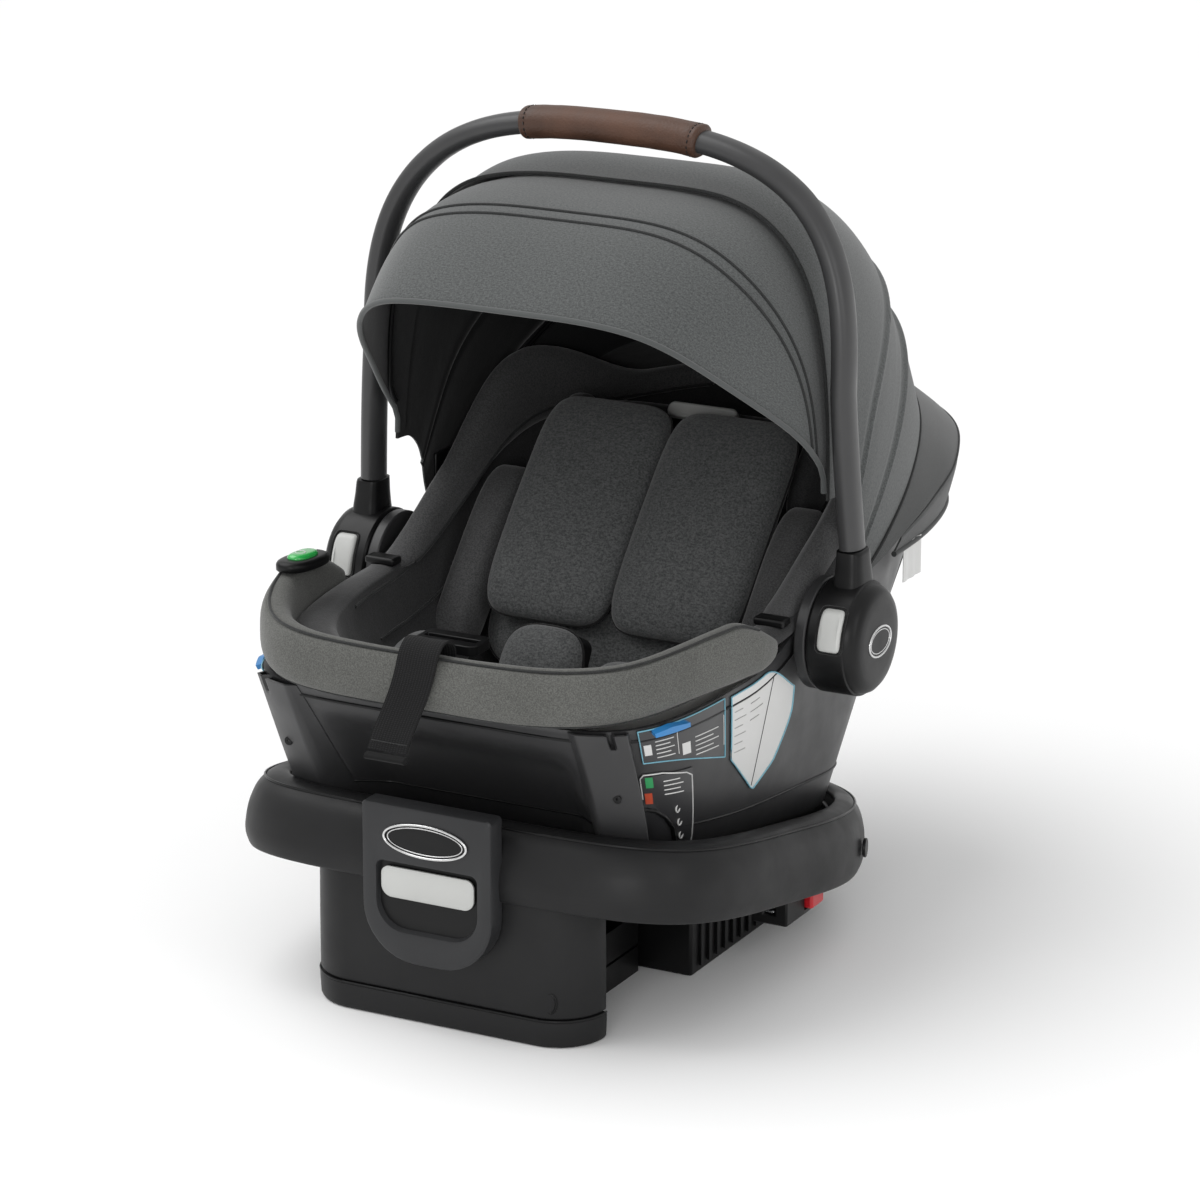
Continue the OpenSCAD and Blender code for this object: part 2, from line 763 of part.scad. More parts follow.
// Rear panel that hangs round the head end of the shell: top edge, crease and hem.
drop_top = 66;
module canopy_drop() {
    color("#3a3c3e") loft([for (i = [0:canopy_steps])
        let (q = mix(4, 176, i / canopy_steps),
             top = dome_pt(q, drop_top, canopy_r + 2 * canopy_step, canopy_half_w, 4.5),
             crease = drop_pt(q, 174, 44, 345, 268 + 42 * sqrt(sin(q))),
             hem = drop_pt(q, 170, 40, 318, 266))
        [top, crease, hem, shrink(hem), shrink(crease), shrink(top)]]);
}

function drop_pt(q, half_w, side_y, rear_y, z) =
    [-half_w * sgn(cos(q)) * pow(abs(cos(q)), 0.8), mix(side_y, rear_y, pow(sin(q), 0.8)), z];
function shrink(p) = let (v = [p[0], p[1] + 20, 0]) p - canopy_t * v / norm(v) - [0, 0, 0.6];

module canopy_bows_rear() {
    color("#111111") canopy_bow(52, canopy_r + 2, canopy_half_w - side_step - 2.3, 4.2);
}

module canopy_bows_front() {
    color("#111111") canopy_bow(-8, canopy_r - 5, canopy_half_w - 8, 4);
}

module canopy_bow(angle, big_r, half_w, e) {
    dome_panel(angle, angle + 1.6, big_r, half_w, e, 96, 0);
}

// ---------------------------------------------------------------- assembly

base_ring();
base_deck();
base_tub();
tub_ribs();
front_panel();
panel_badge();
recline_lever();
lever_spring();
foot();
foot_sole();
anchor_connectors();
anchor_jaws();
anchor_button_left();
anchor_button_right();
pivot_caps();
latch_bars();
carrier_shell();
shell_pillars();
shell_screws();
foam_liner();
seat_cover();
rim_cover();
label_panels();
belt_guides();
belt_hooks();
level_housing();
level_vial();
hub_mounts();
canopy_clips();
release_handle();
latch_hooks();
back_cushion();
body_insert_left();
body_insert_right();
side_bolsters();
hip_pads();
crotch_pad();
buckle();
buckle_button();
crotch_strap();
harness_straps();
splitter_plate();
adjuster_strap();
adjuster_lock();
headrest();
headrest_handle();
handle_tube();
handle_grip();
hub_covers();
hub_badges();
hub_gears();
handle_button_left();
handle_button_right();
button_springs();
canopy_drop();
canopy_rear();
canopy_top();
canopy_front();
canopy_bows_rear();
canopy_bows_front();
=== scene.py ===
import json
import math
import bpy
import numpy as np
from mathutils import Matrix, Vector, noise


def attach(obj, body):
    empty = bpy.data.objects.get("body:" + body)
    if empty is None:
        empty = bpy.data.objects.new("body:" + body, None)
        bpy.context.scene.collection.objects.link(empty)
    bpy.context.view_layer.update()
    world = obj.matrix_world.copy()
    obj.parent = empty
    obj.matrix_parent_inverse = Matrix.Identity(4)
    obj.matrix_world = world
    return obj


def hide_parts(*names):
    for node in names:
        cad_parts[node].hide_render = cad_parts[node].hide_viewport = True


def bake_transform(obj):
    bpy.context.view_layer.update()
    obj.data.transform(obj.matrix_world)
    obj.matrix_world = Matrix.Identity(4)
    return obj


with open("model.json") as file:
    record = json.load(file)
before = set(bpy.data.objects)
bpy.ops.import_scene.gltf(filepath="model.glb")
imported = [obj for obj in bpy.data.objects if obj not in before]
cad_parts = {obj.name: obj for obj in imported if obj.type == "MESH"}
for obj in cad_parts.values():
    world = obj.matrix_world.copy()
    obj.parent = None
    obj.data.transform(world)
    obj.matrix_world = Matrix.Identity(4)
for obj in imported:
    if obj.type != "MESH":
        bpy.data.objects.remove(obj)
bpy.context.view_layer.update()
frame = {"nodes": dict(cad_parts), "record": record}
SCENE = bpy.context.scene
MM = 0.001

# ------------------------------------------------------------------ dimensions in millimetres
HUB = np.array([0.0, -46.0, 242.0])
RECLINE = math.radians(47.7)
BACK_Y, BACK_Z = -32.0, 220.0
RING_TILT, RING_Y0, RING_Z0 = math.radians(11), -90.0, 90.0
RING_HALF_W, RING_FRONT, RING_REAR = 185.0, 200.0, 208.0
SHELL_HALF_W, SHELL_WALL = 165.0, 4.0
CANOPY_R, CANOPY_HALF_W = 300.0, 174.4
PANEL_FRONT, BADGE_Z = -307.0, 141.0
BAND, LABEL_TOP = (-49.0, -12.0), 0.985    # label band: degrees on the shell, and top as a height share
COLUMN = (-77, -53)                        # front corner column, in degrees
VISOR_EDGE, VISOR_SEAM, APRON_TOP = -32.5, 5.0, 66.0   # canopy seams, degrees from upright
STRAP_X, STRAP_HALF, STRAP_CUT = 6, 15, 0.12           # the cut length is in metres
RIM_HALF_W, RIM_REACH, RIM_E = 174, 312, 3.7
APRON_SHARPNESS, CLOTH_T, LEVEL_X = 0.8, 1.3, -158
VISOR_HALF_W = CANOPY_HALF_W - 3.8
SIDES = ((1, "right"), (-1, "left"))


def smooth(t):
    t = min(1.0, max(0.0, t))
    return t * t * (3 - 2 * t)


def mix(a, b, t):
    return a + (b - a) * t


def power(v, e):
    return math.copysign(abs(v) ** e, v)


def turn(n):
    """n angles evenly round a circle."""
    return np.linspace(0, 2 * math.pi, n, endpoint=False)


def once(side, node):
    """A CAD node that holds both sides is replaced by the right-hand piece."""
    return (node,) if side > 0 else ()


def plan_pt(a, f, r, ef, er, angle):
    """Point of an outline seen from above: half width a, front reach f, rear reach r, exponents ef and er."""
    s, c = math.sin(angle), math.cos(angle)
    e, reach = (ef, f) if s < 0 else (er, r)
    return a * power(c, 2 / e), reach * power(s, 2 / e)


# ------------------------------------------------------------------ meshes
def add(name, verts, faces, mats, smooth_angle=40, face_mats=None):
    """A mesh object from millimetre points, smooth except at edges sharper than the angle."""
    data = bpy.data.meshes.new(name)
    data.from_pydata((np.asarray(verts, float) * MM).tolist(), [], [tuple(map(int, f)) for f in faces])
    for m in mats if isinstance(mats, (list, tuple)) else [mats]:
        data.materials.append(m)
    if face_mats is not None:
        data.polygons.foreach_set("material_index", face_mats)
    data.shade_smooth()
    data.set_sharp_from_angle(angle=math.radians(smooth_angle))
    data.validate()
    obj = bpy.data.objects.new(name, data)
    SCENE.collection.objects.link(obj)
    return obj


def loft(name, rings, mats, closed_path=False, smooth_angle=40):
    rings = np.asarray(rings, float)
    m, n = rings.shape[:2]
    faces = []
    for j in range(m if closed_path else m - 1):
        k = (j + 1) % m
        faces += [(j * n + i, j * n + (i + 1) % n, k * n + (i + 1) % n, k * n + i) for i in range(n)]
    if not closed_path:
        faces += [tuple(range(n))[::-1], tuple(range((m - 1) * n, m * n))]
    return fix_normals(add(name, rings.reshape(-1, 3), faces, mats, smooth_angle))


def fix_normals(obj):
    import bmesh
    bm = bmesh.new()
    bm.from_mesh(obj.data)
    bmesh.ops.recalc_face_normals(bm, faces=bm.faces)
    bm.to_mesh(obj.data)
    bm.free()
    return obj


def grid_normals(p):
    du, dv = np.gradient(p, axis=1), np.gradient(p, axis=0)
    n = np.cross(du, dv)
    return n / np.maximum(np.linalg.norm(n, axis=2, keepdims=True), 1e-9)


def cloth(name, p, thick, outer, inner, flip=False):
    """Closed sheet from a grid of points on its outer face; its inner face has its own material."""
    p = np.asarray(p, float)
    m, n = p.shape[:2]
    nrm = grid_normals(p) * (-1 if flip else 1)
    q = p - nrm * thick
    at = lambda j, i, layer: layer * m * n + j * n + i
    faces, which = [], []
    for j in range(m - 1):
        for i in range(n - 1):
            faces.append((at(j, i, 0), at(j, i + 1, 0), at(j + 1, i + 1, 0), at(j + 1, i, 0)))
            faces.append((at(j, i, 1), at(j + 1, i, 1), at(j + 1, i + 1, 1), at(j, i + 1, 1)))
            which += [0, 1]
    edge = [(0, i) for i in range(n)] + [(j, n - 1) for j in range(1, m)]
    edge += [(m - 1, i) for i in range(n - 2, -1, -1)] + [(j, 0) for j in range(m - 2, 0, -1)]
    for k in range(len(edge)):
        a, b = edge[k], edge[(k + 1) % len(edge)]
        faces.append((at(*a, 0), at(*a, 1), at(*b, 1), at(*b, 0)))
        which.append(0)
    obj = add(name, np.concatenate([p.reshape(-1, 3), q.reshape(-1, 3)]), faces, [outer, inner], 60, which)
    uv_from_grid(obj, p)
    return fix_normals(obj)


def uv_from_grid(obj, p):
    """UV in metres: u along the rows, v across them."""
    m, n = p.shape[:2]
    u = np.concatenate([np.zeros((m, 1)), np.cumsum(np.linalg.norm(np.diff(p, axis=1), axis=2), 1)], 1)
    v = np.concatenate([np.zeros((1, n)), np.cumsum(np.linalg.norm(np.diff(p, axis=0), axis=2), 0)], 0)
    u = u - u[:, n // 2:n // 2 + 1]
    flat = np.stack([u, v], 2).reshape(-1, 2) * MM
    flat = np.concatenate([flat, flat])
    layer = obj.data.uv_layers.new(name="UVMap")
    index = np.empty(len(obj.data.loops), int)
    obj.data.loops.foreach_get("vertex_index", index)
    layer.data.foreach_set("uv", flat[index].ravel().astype(np.float32))


def tube(name, path, radius, mats, closed=False, sides=8, across=None, smooth_angle=60):
    """Round or oval cord swept along a path."""
    path = np.asarray(path, float)
    n = len(path)
    if closed:
        tan = np.roll(path, -1, 0) - np.roll(path, 1, 0)
    else:
        tan = np.gradient(path, axis=0)
    tan /= np.maximum(np.linalg.norm(tan, axis=1, keepdims=True), 1e-9)
    up = np.array([0.0, 0.0, 1.0]) if abs(tan[0][2]) < 0.9 else np.array([1.0, 0.0, 0.0])
    rings = []
    side = np.cross(tan[0], up)
    for k in range(n):
        side = side - tan[k] * side.dot(tan[k])
        side /= np.linalg.norm(side)
        top = np.cross(side, tan[k])
        r = radius if np.isscalar(radius) else radius[k]
        w = across if across else r
        rings.append([path[k] + side * r * math.cos(c) + top * w * math.sin(c)
                      for c in turn(sides)])
    return loft(name, rings, mats, closed, smooth_angle)


def join(name, objs):
    bpy.ops.object.select_all(action="DESELECT")
    for o in objs:
        o.select_set(True)
    bpy.context.view_layer.objects.active = objs[0]
    bpy.ops.object.join()
    objs[0].name = name
    return objs[0]


def place(obj, body, slot, *nodes):
    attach(obj, body)
    if nodes:
        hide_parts(*nodes)
    return obj


def bevel(obj, width, segments=3, angle=30):
    mod = obj.modifiers.new("edges", "BEVEL")
    mod.width = width * MM
    mod.segments = segments
    mod.limit_method = "ANGLE"
    mod.angle_limit = math.radians(angle)
    mod.harden_normals = False
    return obj


def pipe(name, points, radius, mat, closed, sides, body, slot, *nodes, **more):
    """A round bead, seam or rod along points, on its body, hiding the CAD nodes it replaces."""
    return place(tube(name, points, radius, mat, closed, sides, **more), body, slot, *nodes)


def from_cad(node, body, slot, mat, width, segments=2):
    """A copy of a rigid CAD node with rounded edges."""
    import bmesh
    src = frame["nodes"][node]
    data = src.data.copy()
    data.transform(src.matrix_world)
    obj = bpy.data.objects.new(node + "_shape", data)
    SCENE.collection.objects.link(obj)
    bm = bmesh.new()
    bm.from_mesh(data)
    bmesh.ops.remove_doubles(bm, verts=bm.verts, dist=1e-5)
    bmesh.ops.dissolve_limit(bm, angle_limit=math.radians(2), verts=bm.verts, edges=bm.edges)
    bm.to_mesh(data)
    bm.free()
    data.materials.clear()
    data.materials.append(mat)
    data.shade_smooth()
    data.set_sharp_from_angle(angle=math.radians(35))
    if width:
        bevel(obj, width, segments, 35)
    return place(obj, body, slot, node)


def pillow(name, w, l, t, where, mats, e=3.4, rise=0.62, rings=16, steps=72, puff=0.55,
           shape=None, lump=0.5, seed=0):
    """Stuffed pad: w by l by t, lying from z = 0 to t in its own frame; where() puts it in place."""
    verts = []
    rho_list = [math.sin(math.pi / 2 * k / rings) for k in range(1, rings + 1)]
    mid = t * (1 - rise)
    for layer in (1, -1):
        for rho in rho_list[:-1] if layer < 0 else rho_list:
            for i in range(steps):
                c = 2 * math.pi * i / steps
                x = w / 2 * power(math.cos(c), 2 / e) * rho
                y = l / 2 * power(math.sin(c), 2 / e) * rho
                h = max(0.0, 1 - rho ** 3) ** puff
                z = mid + (t * rise if layer > 0 else -mid) * h
                if layer > 0:
                    fade = 1 - rho ** 6
                    bump = noise.noise(Vector((x * 0.035 + seed, y * 0.035, seed * 1.7)))
                    pleat = noise.noise(Vector((c * 9 + seed, 3.1, seed)))
                    pleat *= max(0.0, rho - 0.6) * (1 - rho) * 8
                    z += lump * (bump * 2.2 * fade + pleat)
                    if shape:
                        z = shape(x, y, z)
                verts.append((x, y, z))
    centre_top = len(verts)
    verts.append((0, 0, (shape(0, 0, t) if shape else t)))
    verts.append((0, 0, 0))
    faces = []
    row = lambda k, layer: (k * steps if layer > 0 else (rings + k) * steps)
    for k in range(rings - 1):
        for i in range(steps):
            j = (i + 1) % steps
            a, b = row(k, 1), row(k + 1, 1)
            faces.append((a + i, b + i, b + j, a + j))
            a, b = row(k, -1), (row(k + 1, -1) if k + 1 < rings - 1 else row(rings - 1, 1))
            faces.append((a + i, a + j, b + j, b + i))
    for i in range(steps):
        j = (i + 1) % steps
        faces.append((centre_top, row(0, 1) + i, row(0, 1) + j))
        faces.append((centre_top + 1, row(0, -1) + j, row(0, -1) + i))
    obj = add(name, [where(*v) for v in verts], faces, mats, 80)
    edge = [where(*verts[row(rings - 1, 1) + i]) for i in range(steps)]
    return fix_normals(obj), edge


def tilted(y0, z0, angle, x0=0.0, mirror=1):
    s, c = math.sin(angle), math.cos(angle)
    return lambda x, y, z: (mirror * (x0 + x), y0 + y * c - z * s, z0 + y * s + z * c)


# ------------------------------------------------------------------ materials
class Nodes:
    def __init__(self, name, rough, metallic=0.0, coat=0.0, sheen=0.0, spec=0.5):
        self.mat = bpy.data.materials.new(name)
        self.mat.use_nodes = True
        self.tree = self.mat.node_tree
        self.bsdf = self.tree.nodes["Principled BSDF"]
        self.coords = self.tree.nodes.new("ShaderNodeTexCoord")
        self.set("Roughness", rough)
        self.set("Metallic", metallic)
        self.set("Coat Weight", coat)
        self.set("Sheen Weight", sheen)
        self.set("Specular IOR Level", spec)

    def set(self, socket, value):
        self.bsdf.inputs[socket].default_value = value

    def link(self, a, b):
        self.tree.links.new(a, b)

    def noise(self, scale, detail=3, stretch=None, uv=False, rough=0.55):
        src = self.coords.outputs["UV" if uv else "Object"]
        if stretch:
            m = self.tree.nodes.new("ShaderNodeMapping")
            m.inputs["Scale"].default_value = stretch
            self.link(src, m.inputs["Vector"])
            src = m.outputs["Vector"]
        n = self.tree.nodes.new("ShaderNodeTexNoise")
        n.inputs["Scale"].default_value = scale
        n.inputs["Detail"].default_value = detail
        n.inputs["Roughness"].default_value = rough
        self.link(src, n.inputs["Vector"])
        return n.outputs["Fac"]

    def wave(self, scale, axis):
        n = self.tree.nodes.new("ShaderNodeTexWave")
        n.bands_direction = axis
        n.inputs["Scale"].default_value = scale
        n.inputs["Distortion"].default_value = 0.0
        self.link(self.coords.outputs["UV"], n.inputs["Vector"])
        return n.outputs["Fac"]

    def ramp(self, fac, stops):
        n = self.tree.nodes.new("ShaderNodeValToRGB")
        e = n.color_ramp.elements
        while len(e) < len(stops):
            e.new(0.5)
        for k, (pos, col) in enumerate(stops):
            e[k].position = pos
            e[k].color = (*col, 1) if hasattr(col, "__len__") else (col, col, col, 1)
        self.link(fac, n.inputs["Fac"])
        return n.outputs["Color"]

    def math(self, op, a, b):
        n = self.tree.nodes.new("ShaderNodeMath")
        n.operation = op
        for k, v in enumerate((a, b)):
            if isinstance(v, (int, float)):
                n.inputs[k].default_value = v
            else:
                self.link(v, n.inputs[k])
        return n.outputs[0]

    def blend(self, fac, a, b, kind="MIX"):
        n = self.tree.nodes.new("ShaderNodeMix")
        n.data_type = "RGBA"
        n.blend_type = kind
        for socket, v in ((n.inputs[0], fac), (n.inputs[6], a), (n.inputs[7], b)):
            if isinstance(v, (int, float)):
                socket.default_value = v
            elif isinstance(v, tuple):
                socket.default_value = (*v, 1)
            else:
                self.link(v, socket)
        return n.outputs[2]

    def bump(self, height, strength, distance=0.0005, onto=None):
        n = self.tree.nodes.new("ShaderNodeBump")
        n.inputs["Strength"].default_value = strength
        n.inputs["Distance"].default_value = distance
        self.link(height, n.inputs["Height"])
        if onto is not None:
            self.link(onto, n.inputs["Normal"])
        self.link(n.outputs["Normal"], self.bsdf.inputs["Normal"])
        return n.outputs["Normal"]

    def colour(self, socket):
        self.link(socket, self.bsdf.inputs["Base Color"])


def plastic(name, col, rough=0.45, grain=900.0, strength=0.12, coat=0.0, vary=0.12, spec=0.5):
    n = Nodes(name, rough, coat=coat, spec=spec)
    big = n.noise(14, 4)
    lo, hi = tuple(c * (1 - vary) for c in col), tuple(min(1, c * (1 + vary)) for c in col)
    n.colour(n.ramp(big, [(0.3, lo), (0.7, hi)]))
    smear = n.noise(38, 5)
    spread = [(0.25, max(0, rough - 0.07)), (0.75, min(1, rough + 0.08))]
    n.link(n.ramp(smear, spread), n.bsdf.inputs["Roughness"])
    n.bump(n.noise(grain, 2), strength, 0.0002)
    return n.mat


def film(name, col):
    return plastic(name, col, 0.4, 1500, 0.02, 0.2, 0.03)


def melange(name, dark, light, uv=False, thread=620.0, sheen=0.25, soft=0.06, weave=0.5):
    n = Nodes(name, 0.9, sheen=sheen, spec=0.2)
    n.set("Sheen Roughness", 0.5)
    fleck = n.noise(thread, 2, (1.0, 0.55, 1.0), uv)
    cross = n.noise(thread * 0.8, 2, (0.5, 1.0, 1.0), uv)
    both = n.math("ADD", n.math("MULTIPLY", fleck, 0.5), n.math("MULTIPLY", cross, 0.5))
    cloudy = n.noise(9, 3, None, uv)
    shade = n.ramp(both, [(0.38, dark), (0.62, light)])
    tone = n.ramp(cloudy, [(0.3, 1 - soft), (0.7, 1.0)])
    n.colour(n.blend(1.0, shade, tone, "MULTIPLY"))
    first = n.bump(both, 0.35 * weave, 0.0008)
    n.bump(n.noise(60, 4, None, uv), 0.1, 0.002, first)
    return n.mat


def knit(name, col, uv=False, thread=900.0, sheen=0.3):
    n = Nodes(name, 0.88, sheen=sheen, spec=0.25)
    n.set("Sheen Roughness", 0.4)
    fine = n.noise(thread, 2, None, uv)
    cloudy = n.noise(16, 4, None, uv)
    lo, hi = tuple(c * 0.7 for c in col), tuple(c * 1.3 for c in col)
    shade = n.ramp(fine, [(0.35, lo), (0.65, hi)])
    n.colour(n.blend(1.0, shade, n.ramp(cloudy, [(0.3, 0.85), (0.7, 1.0)]), "MULTIPLY"))
    first = n.bump(fine, 0.25, 0.0005)
    n.bump(n.noise(45, 4, None, uv), 0.14, 0.003, first)
    return n.mat


def webbing(name, col):
    n = Nodes(name, 0.75, sheen=0.05, spec=0.2)
    rib = n.wave(150.0, "X")
    pick = n.wave(230.0, "Y")
    both = n.math("MULTIPLY", rib, pick)
    lo, hi = tuple(c * 0.5 for c in col), tuple(c * 1.8 for c in col)
    n.colour(n.ramp(both, [(0.1, lo), (0.8, hi)]))
    n.bump(both, 0.6, 0.0006)
    return n.mat


def leather(name, col):
    n = Nodes(name, 0.5, spec=0.4)
    cloudy = n.noise(26, 5)
    lo, hi = tuple(c * 0.6 for c in col), tuple(c * 1.35 for c in col)
    n.colour(n.ramp(cloudy, [(0.3, lo), (0.72, hi)]))
    v = n.tree.nodes.new("ShaderNodeTexVoronoi")
    v.inputs["Scale"].default_value = 620
    n.link(n.coords.outputs["Object"], v.inputs["Vector"])
    n.link(n.ramp(cloudy, [(0.3, 0.42), (0.7, 0.62)]), n.bsdf.inputs["Roughness"])
    n.bump(v.outputs["Distance"], 0.35, 0.0006)
    return n.mat


def metal(name, col, rough=0.3):
    n = Nodes(name, rough, metallic=1.0)
    brush = n.noise(500, 3, (0.06, 1, 1))
    n.colour(n.ramp(brush, [(0.3, tuple(c * 0.8 for c in col)), (0.7, col)]))
    spread = [(0.3, rough * 0.8), (0.7, min(1, rough * 1.3))]
    n.link(n.ramp(n.noise(60, 3), spread), n.bsdf.inputs["Roughness"])
    n.bump(brush, 0.08, 0.0002)
    return n.mat


M = {
    "dark": plastic("dark_plastic_m", (0.024, 0.024, 0.025), 0.42),
    "black": plastic("black_plastic_m", (0.005, 0.005, 0.0053), 0.36, spec=0.25),
    "base": plastic("base_plastic_m", (0.011, 0.011, 0.0115), 0.46, spec=0.25),
    "grey": plastic("grey_plastic_m", (0.026, 0.0265, 0.028), 0.4, spec=0.3),
    "tube": plastic("tube_plastic_m", (0.036, 0.036, 0.037), 0.38, 1400, 0.06),
    "light": plastic("light_plastic_m", (0.50, 0.505, 0.49), 0.35, 1200, 0.05, vary=0.04),
    "red": plastic("red_plastic_m", (0.55, 0.012, 0.02), 0.3, 1200, 0.04, 0.3),
    "blue": plastic("blue_plastic_m", (0.02, 0.20, 0.50), 0.35, 1200, 0.04, 0.2),
    "label": film("label_film_m", (0.62, 0.62, 0.61)),
    "label_faint": film("label_faint_m", (0.34, 0.34, 0.34)),
    "label_blue": plastic("label_blue_m", (0.16, 0.40, 0.50), 0.35, 1200, 0.04, 0.2),
    "label_dark": film("label_dark_m", (0.03, 0.03, 0.032)),
    "label_green": film("label_green_m", (0.03, 0.30, 0.10)),
    "label_red": film("label_red_m", (0.50, 0.07, 0.03)),
    "vial": plastic("vial_green_m", (0.03, 0.42, 0.08), 0.12, 1500, 0.01, 0.8, 0.1),
    "foam": plastic("foam_m", (0.7, 0.7, 0.67), 0.85, 300, 0.5),
    "canopy": melange("canopy_fabric_m", (0.050, 0.053, 0.053), (0.110, 0.116, 0.115), True, 1100.0),
    # Painted shade: the drop uses a darker copy of the canopy fabric, standing in for the shade on its
    # hanging sides.
    "drop": melange("drop_fabric_painted_shade_m", (0.026, 0.027, 0.027), (0.060, 0.062, 0.062), True, 1100.0),
    "insert": melange("insert_fabric_m", (0.048, 0.050, 0.051), (0.122, 0.125, 0.125), False, 900.0),
    "seat": knit("seat_fabric_m", (0.034, 0.034, 0.035)),
    "wing": knit("wing_fabric_m", (0.070, 0.070, 0.071)),
    "lining": knit("lining_fabric_m", (0.008, 0.008, 0.0085), True),
    "trim": knit("trim_fabric_m", (0.106, 0.107, 0.100), False, 1100.0, 0.2),
    "piping": knit("piping_m", (0.030, 0.031, 0.031), False, 1200.0, 0.2),
    "piping_dark": knit("piping_dark_m", (0.012, 0.012, 0.012), False, 1200.0, 0.2),
    "webbing": webbing("webbing_m", (0.007, 0.007, 0.0075)),
    "leather": leather("leather_m", (0.084, 0.039, 0.023)),
    "steel": metal("steel_m", (0.55, 0.56, 0.57)),
    "chrome": metal("badge_rim_m", (0.72, 0.72, 0.72), 0.22),
}
PLAIN = {
    "dark_plastic": "base", "grey_plastic": "grey", "light_plastic": "light", "bright_trim": "chrome",
    "steel": "steel", "red_plastic": "red", "foam": "foam", "dark_fabric": "seat", "trim_fabric": "trim",
    "melange_fabric": "insert", "webbing": "webbing", "label_film": "label", "blue_plastic": "blue",
    "green_fluid": "vial", "leather": "leather", "canopy_fabric": "canopy",
}
for part in frame["record"]["subparts"]:
    obj = frame["nodes"][part["node"]]
    for s in obj.material_slots:
        s.link = "OBJECT"
        s.material = M[PLAIN[part["material_slot"]]]

# ------------------------------------------------------------------ base
RING_SECTION = [(3, -27), (7, -16), (6, 2), (2, 16), (-5, 25), (-16, 27), (-18, 22), (-14, 18),
                (-7, 20), (-1, 13), (3, 1), (4, -15), (0, -27)]


def rounded_section(points, per_side=5, pull=0.5):
    """Closed outline with its corners rounded by a quadratic through each edge's middle."""
    pts = [np.array(p, float) for p in points]
    out = []
    for k, p in enumerate(pts):
        a, b = mix(p, pts[k - 1], pull), mix(p, pts[(k + 1) % len(pts)], pull)
        for s in np.arange(per_side) / per_side:
            out.append((1 - s) ** 2 * a + 2 * s * (1 - s) * p + s * s * b)
    return out


def on_ring(x, y, up):
    c, s = math.cos(-RING_TILT), math.sin(-RING_TILT)
    return (x, RING_Y0 + y * c - up * s, RING_Z0 + y * s + up * c)


def base():
    steps = 260
    section = rounded_section(RING_SECTION, 4, 0.42)
    rings = []
    for i in range(steps):
        angle = 2 * math.pi * i / steps
        rings.append([on_ring(*plan_pt(RING_HALF_W + o, RING_FRONT + o, RING_REAR + o, 4.8, 2.5, angle), u)
                      for o, u in section])
    place(loft("base_ring_shape", rings, M["base"], True), "base", "dark_plastic", "base_ring")
    rim = [on_ring(*plan_pt(RING_HALF_W - 2.6, RING_FRONT - 2.6, RING_REAR - 2.6, 4.8, 2.5,
                            2 * math.pi * i / steps), 22.6) for i in range(steps)]
    pipe("ring_seam", rim, 0.9, M["black"], True, 6, "base", "dark_plastic")
    for node, width in (("base_deck", 1.0), ("base_tub", 2.0), ("anchor_connectors", 2.0)):
        from_cad(node, "base", "dark_plastic", M["black"], width)
    for node, width in (("anchor_jaws", 0.8), ("latch_bars", 0.5)):
        from_cad(node, "base", "steel", M["steel"], width)
    for node in ("anchor_button_left", "anchor_button_right"):
        from_cad(node, node, "red_plastic", M["red"], 2.0)
    from_cad("pivot_caps", "base", "dark_plastic", M["black"], 0.6)
    ribs = []
    for s in (-1, 1):
        for k in range(15):
            y = -112 + 12.5 * k
            top = 84 - 0.1913 * (y + 126) - 5
            low = max(5.0, 0.45 * (y - 34) + 5)
            ribs.append(box_mesh("rib", s * 111.2, y, (low + top) / 2, 1.6, 4.2, top - low))
    place(join("tub_side_ribs", ribs), "base", "dark_plastic")


def box_mesh(name, x, y, z, w, d, h, mat=None):
    v = [(x + sx * w / 2, y + sy * d / 2, z + sz * h / 2)
         for sz in (-1, 1) for sy in (-1, 1) for sx in (-1, 1)]
    f = [(0, 1, 3, 2), (4, 6, 7, 5), (0, 4, 5, 1), (2, 3, 7, 6), (0, 2, 6, 4), (1, 5, 7, 3)]
    return fix_normals(add(name, v, f, mat or M["black"]))


def foot_outline(inset):
    pts = []
    for cx, a0 in ((74, 0), (-74, -90)):
        for k in range(13):
            a = math.radians(a0 - 90 * k / 12)
            pts.append((cx + (36 - inset) * math.cos(a), -254 + (36 - inset) * math.sin(a)))
    return pts


def foot():
    prof = [(21.0, 1.6), (21.6, 0.5), (23, 0), (60, 0.0), (100, 0.4), (104.5, 1.2), (106, 4)]
    rings = [[(x, y, z) for x, y in foot_outline(inset)] for z, inset in prof]
    body = loft("foot_box", rings, M["base"], False, 30)
    neck = box_mesh("neck", 0, -193, 32.5, 143, 121, 23)
    place(join("foot_shape", [body, neck]), "foot", "dark_plastic", "foot")
    prof = [(0, 3), (0.8, 1.2), (3, 0), (14, -0.6), (18.6, -0.6), (19.6, 0.2), (20.2, 1.6)]
    rings = [[(x, y, z) for x, y in foot_outline(inset)] for z, inset in prof]
    sole = loft("sole_box", rings, M["base"], False, 30)
    neck = box_mesh("sole_neck", 0, -193, 9.6, 143, 121, 19)
    place(join("foot_sole_shape", [sole, neck]), "foot", "dark_plastic", "foot_sole")
    line = [(x, y, 19.9) for x, y in foot_outline(-0.35)]
    pipe("foot_trim_line", line, 0.8, M["black"], False, 6, "foot", "dark_plastic")
    oval = [(85 + 4.2 * math.cos(c), -287.6 + 0.6 * math.cos(c), 33 + 7 * math.sin(c)) for c in turn(32)]
    pipe("foot_hole_rim", oval, 0.9, M["black"], True, 6, "foot", "dark_plastic")


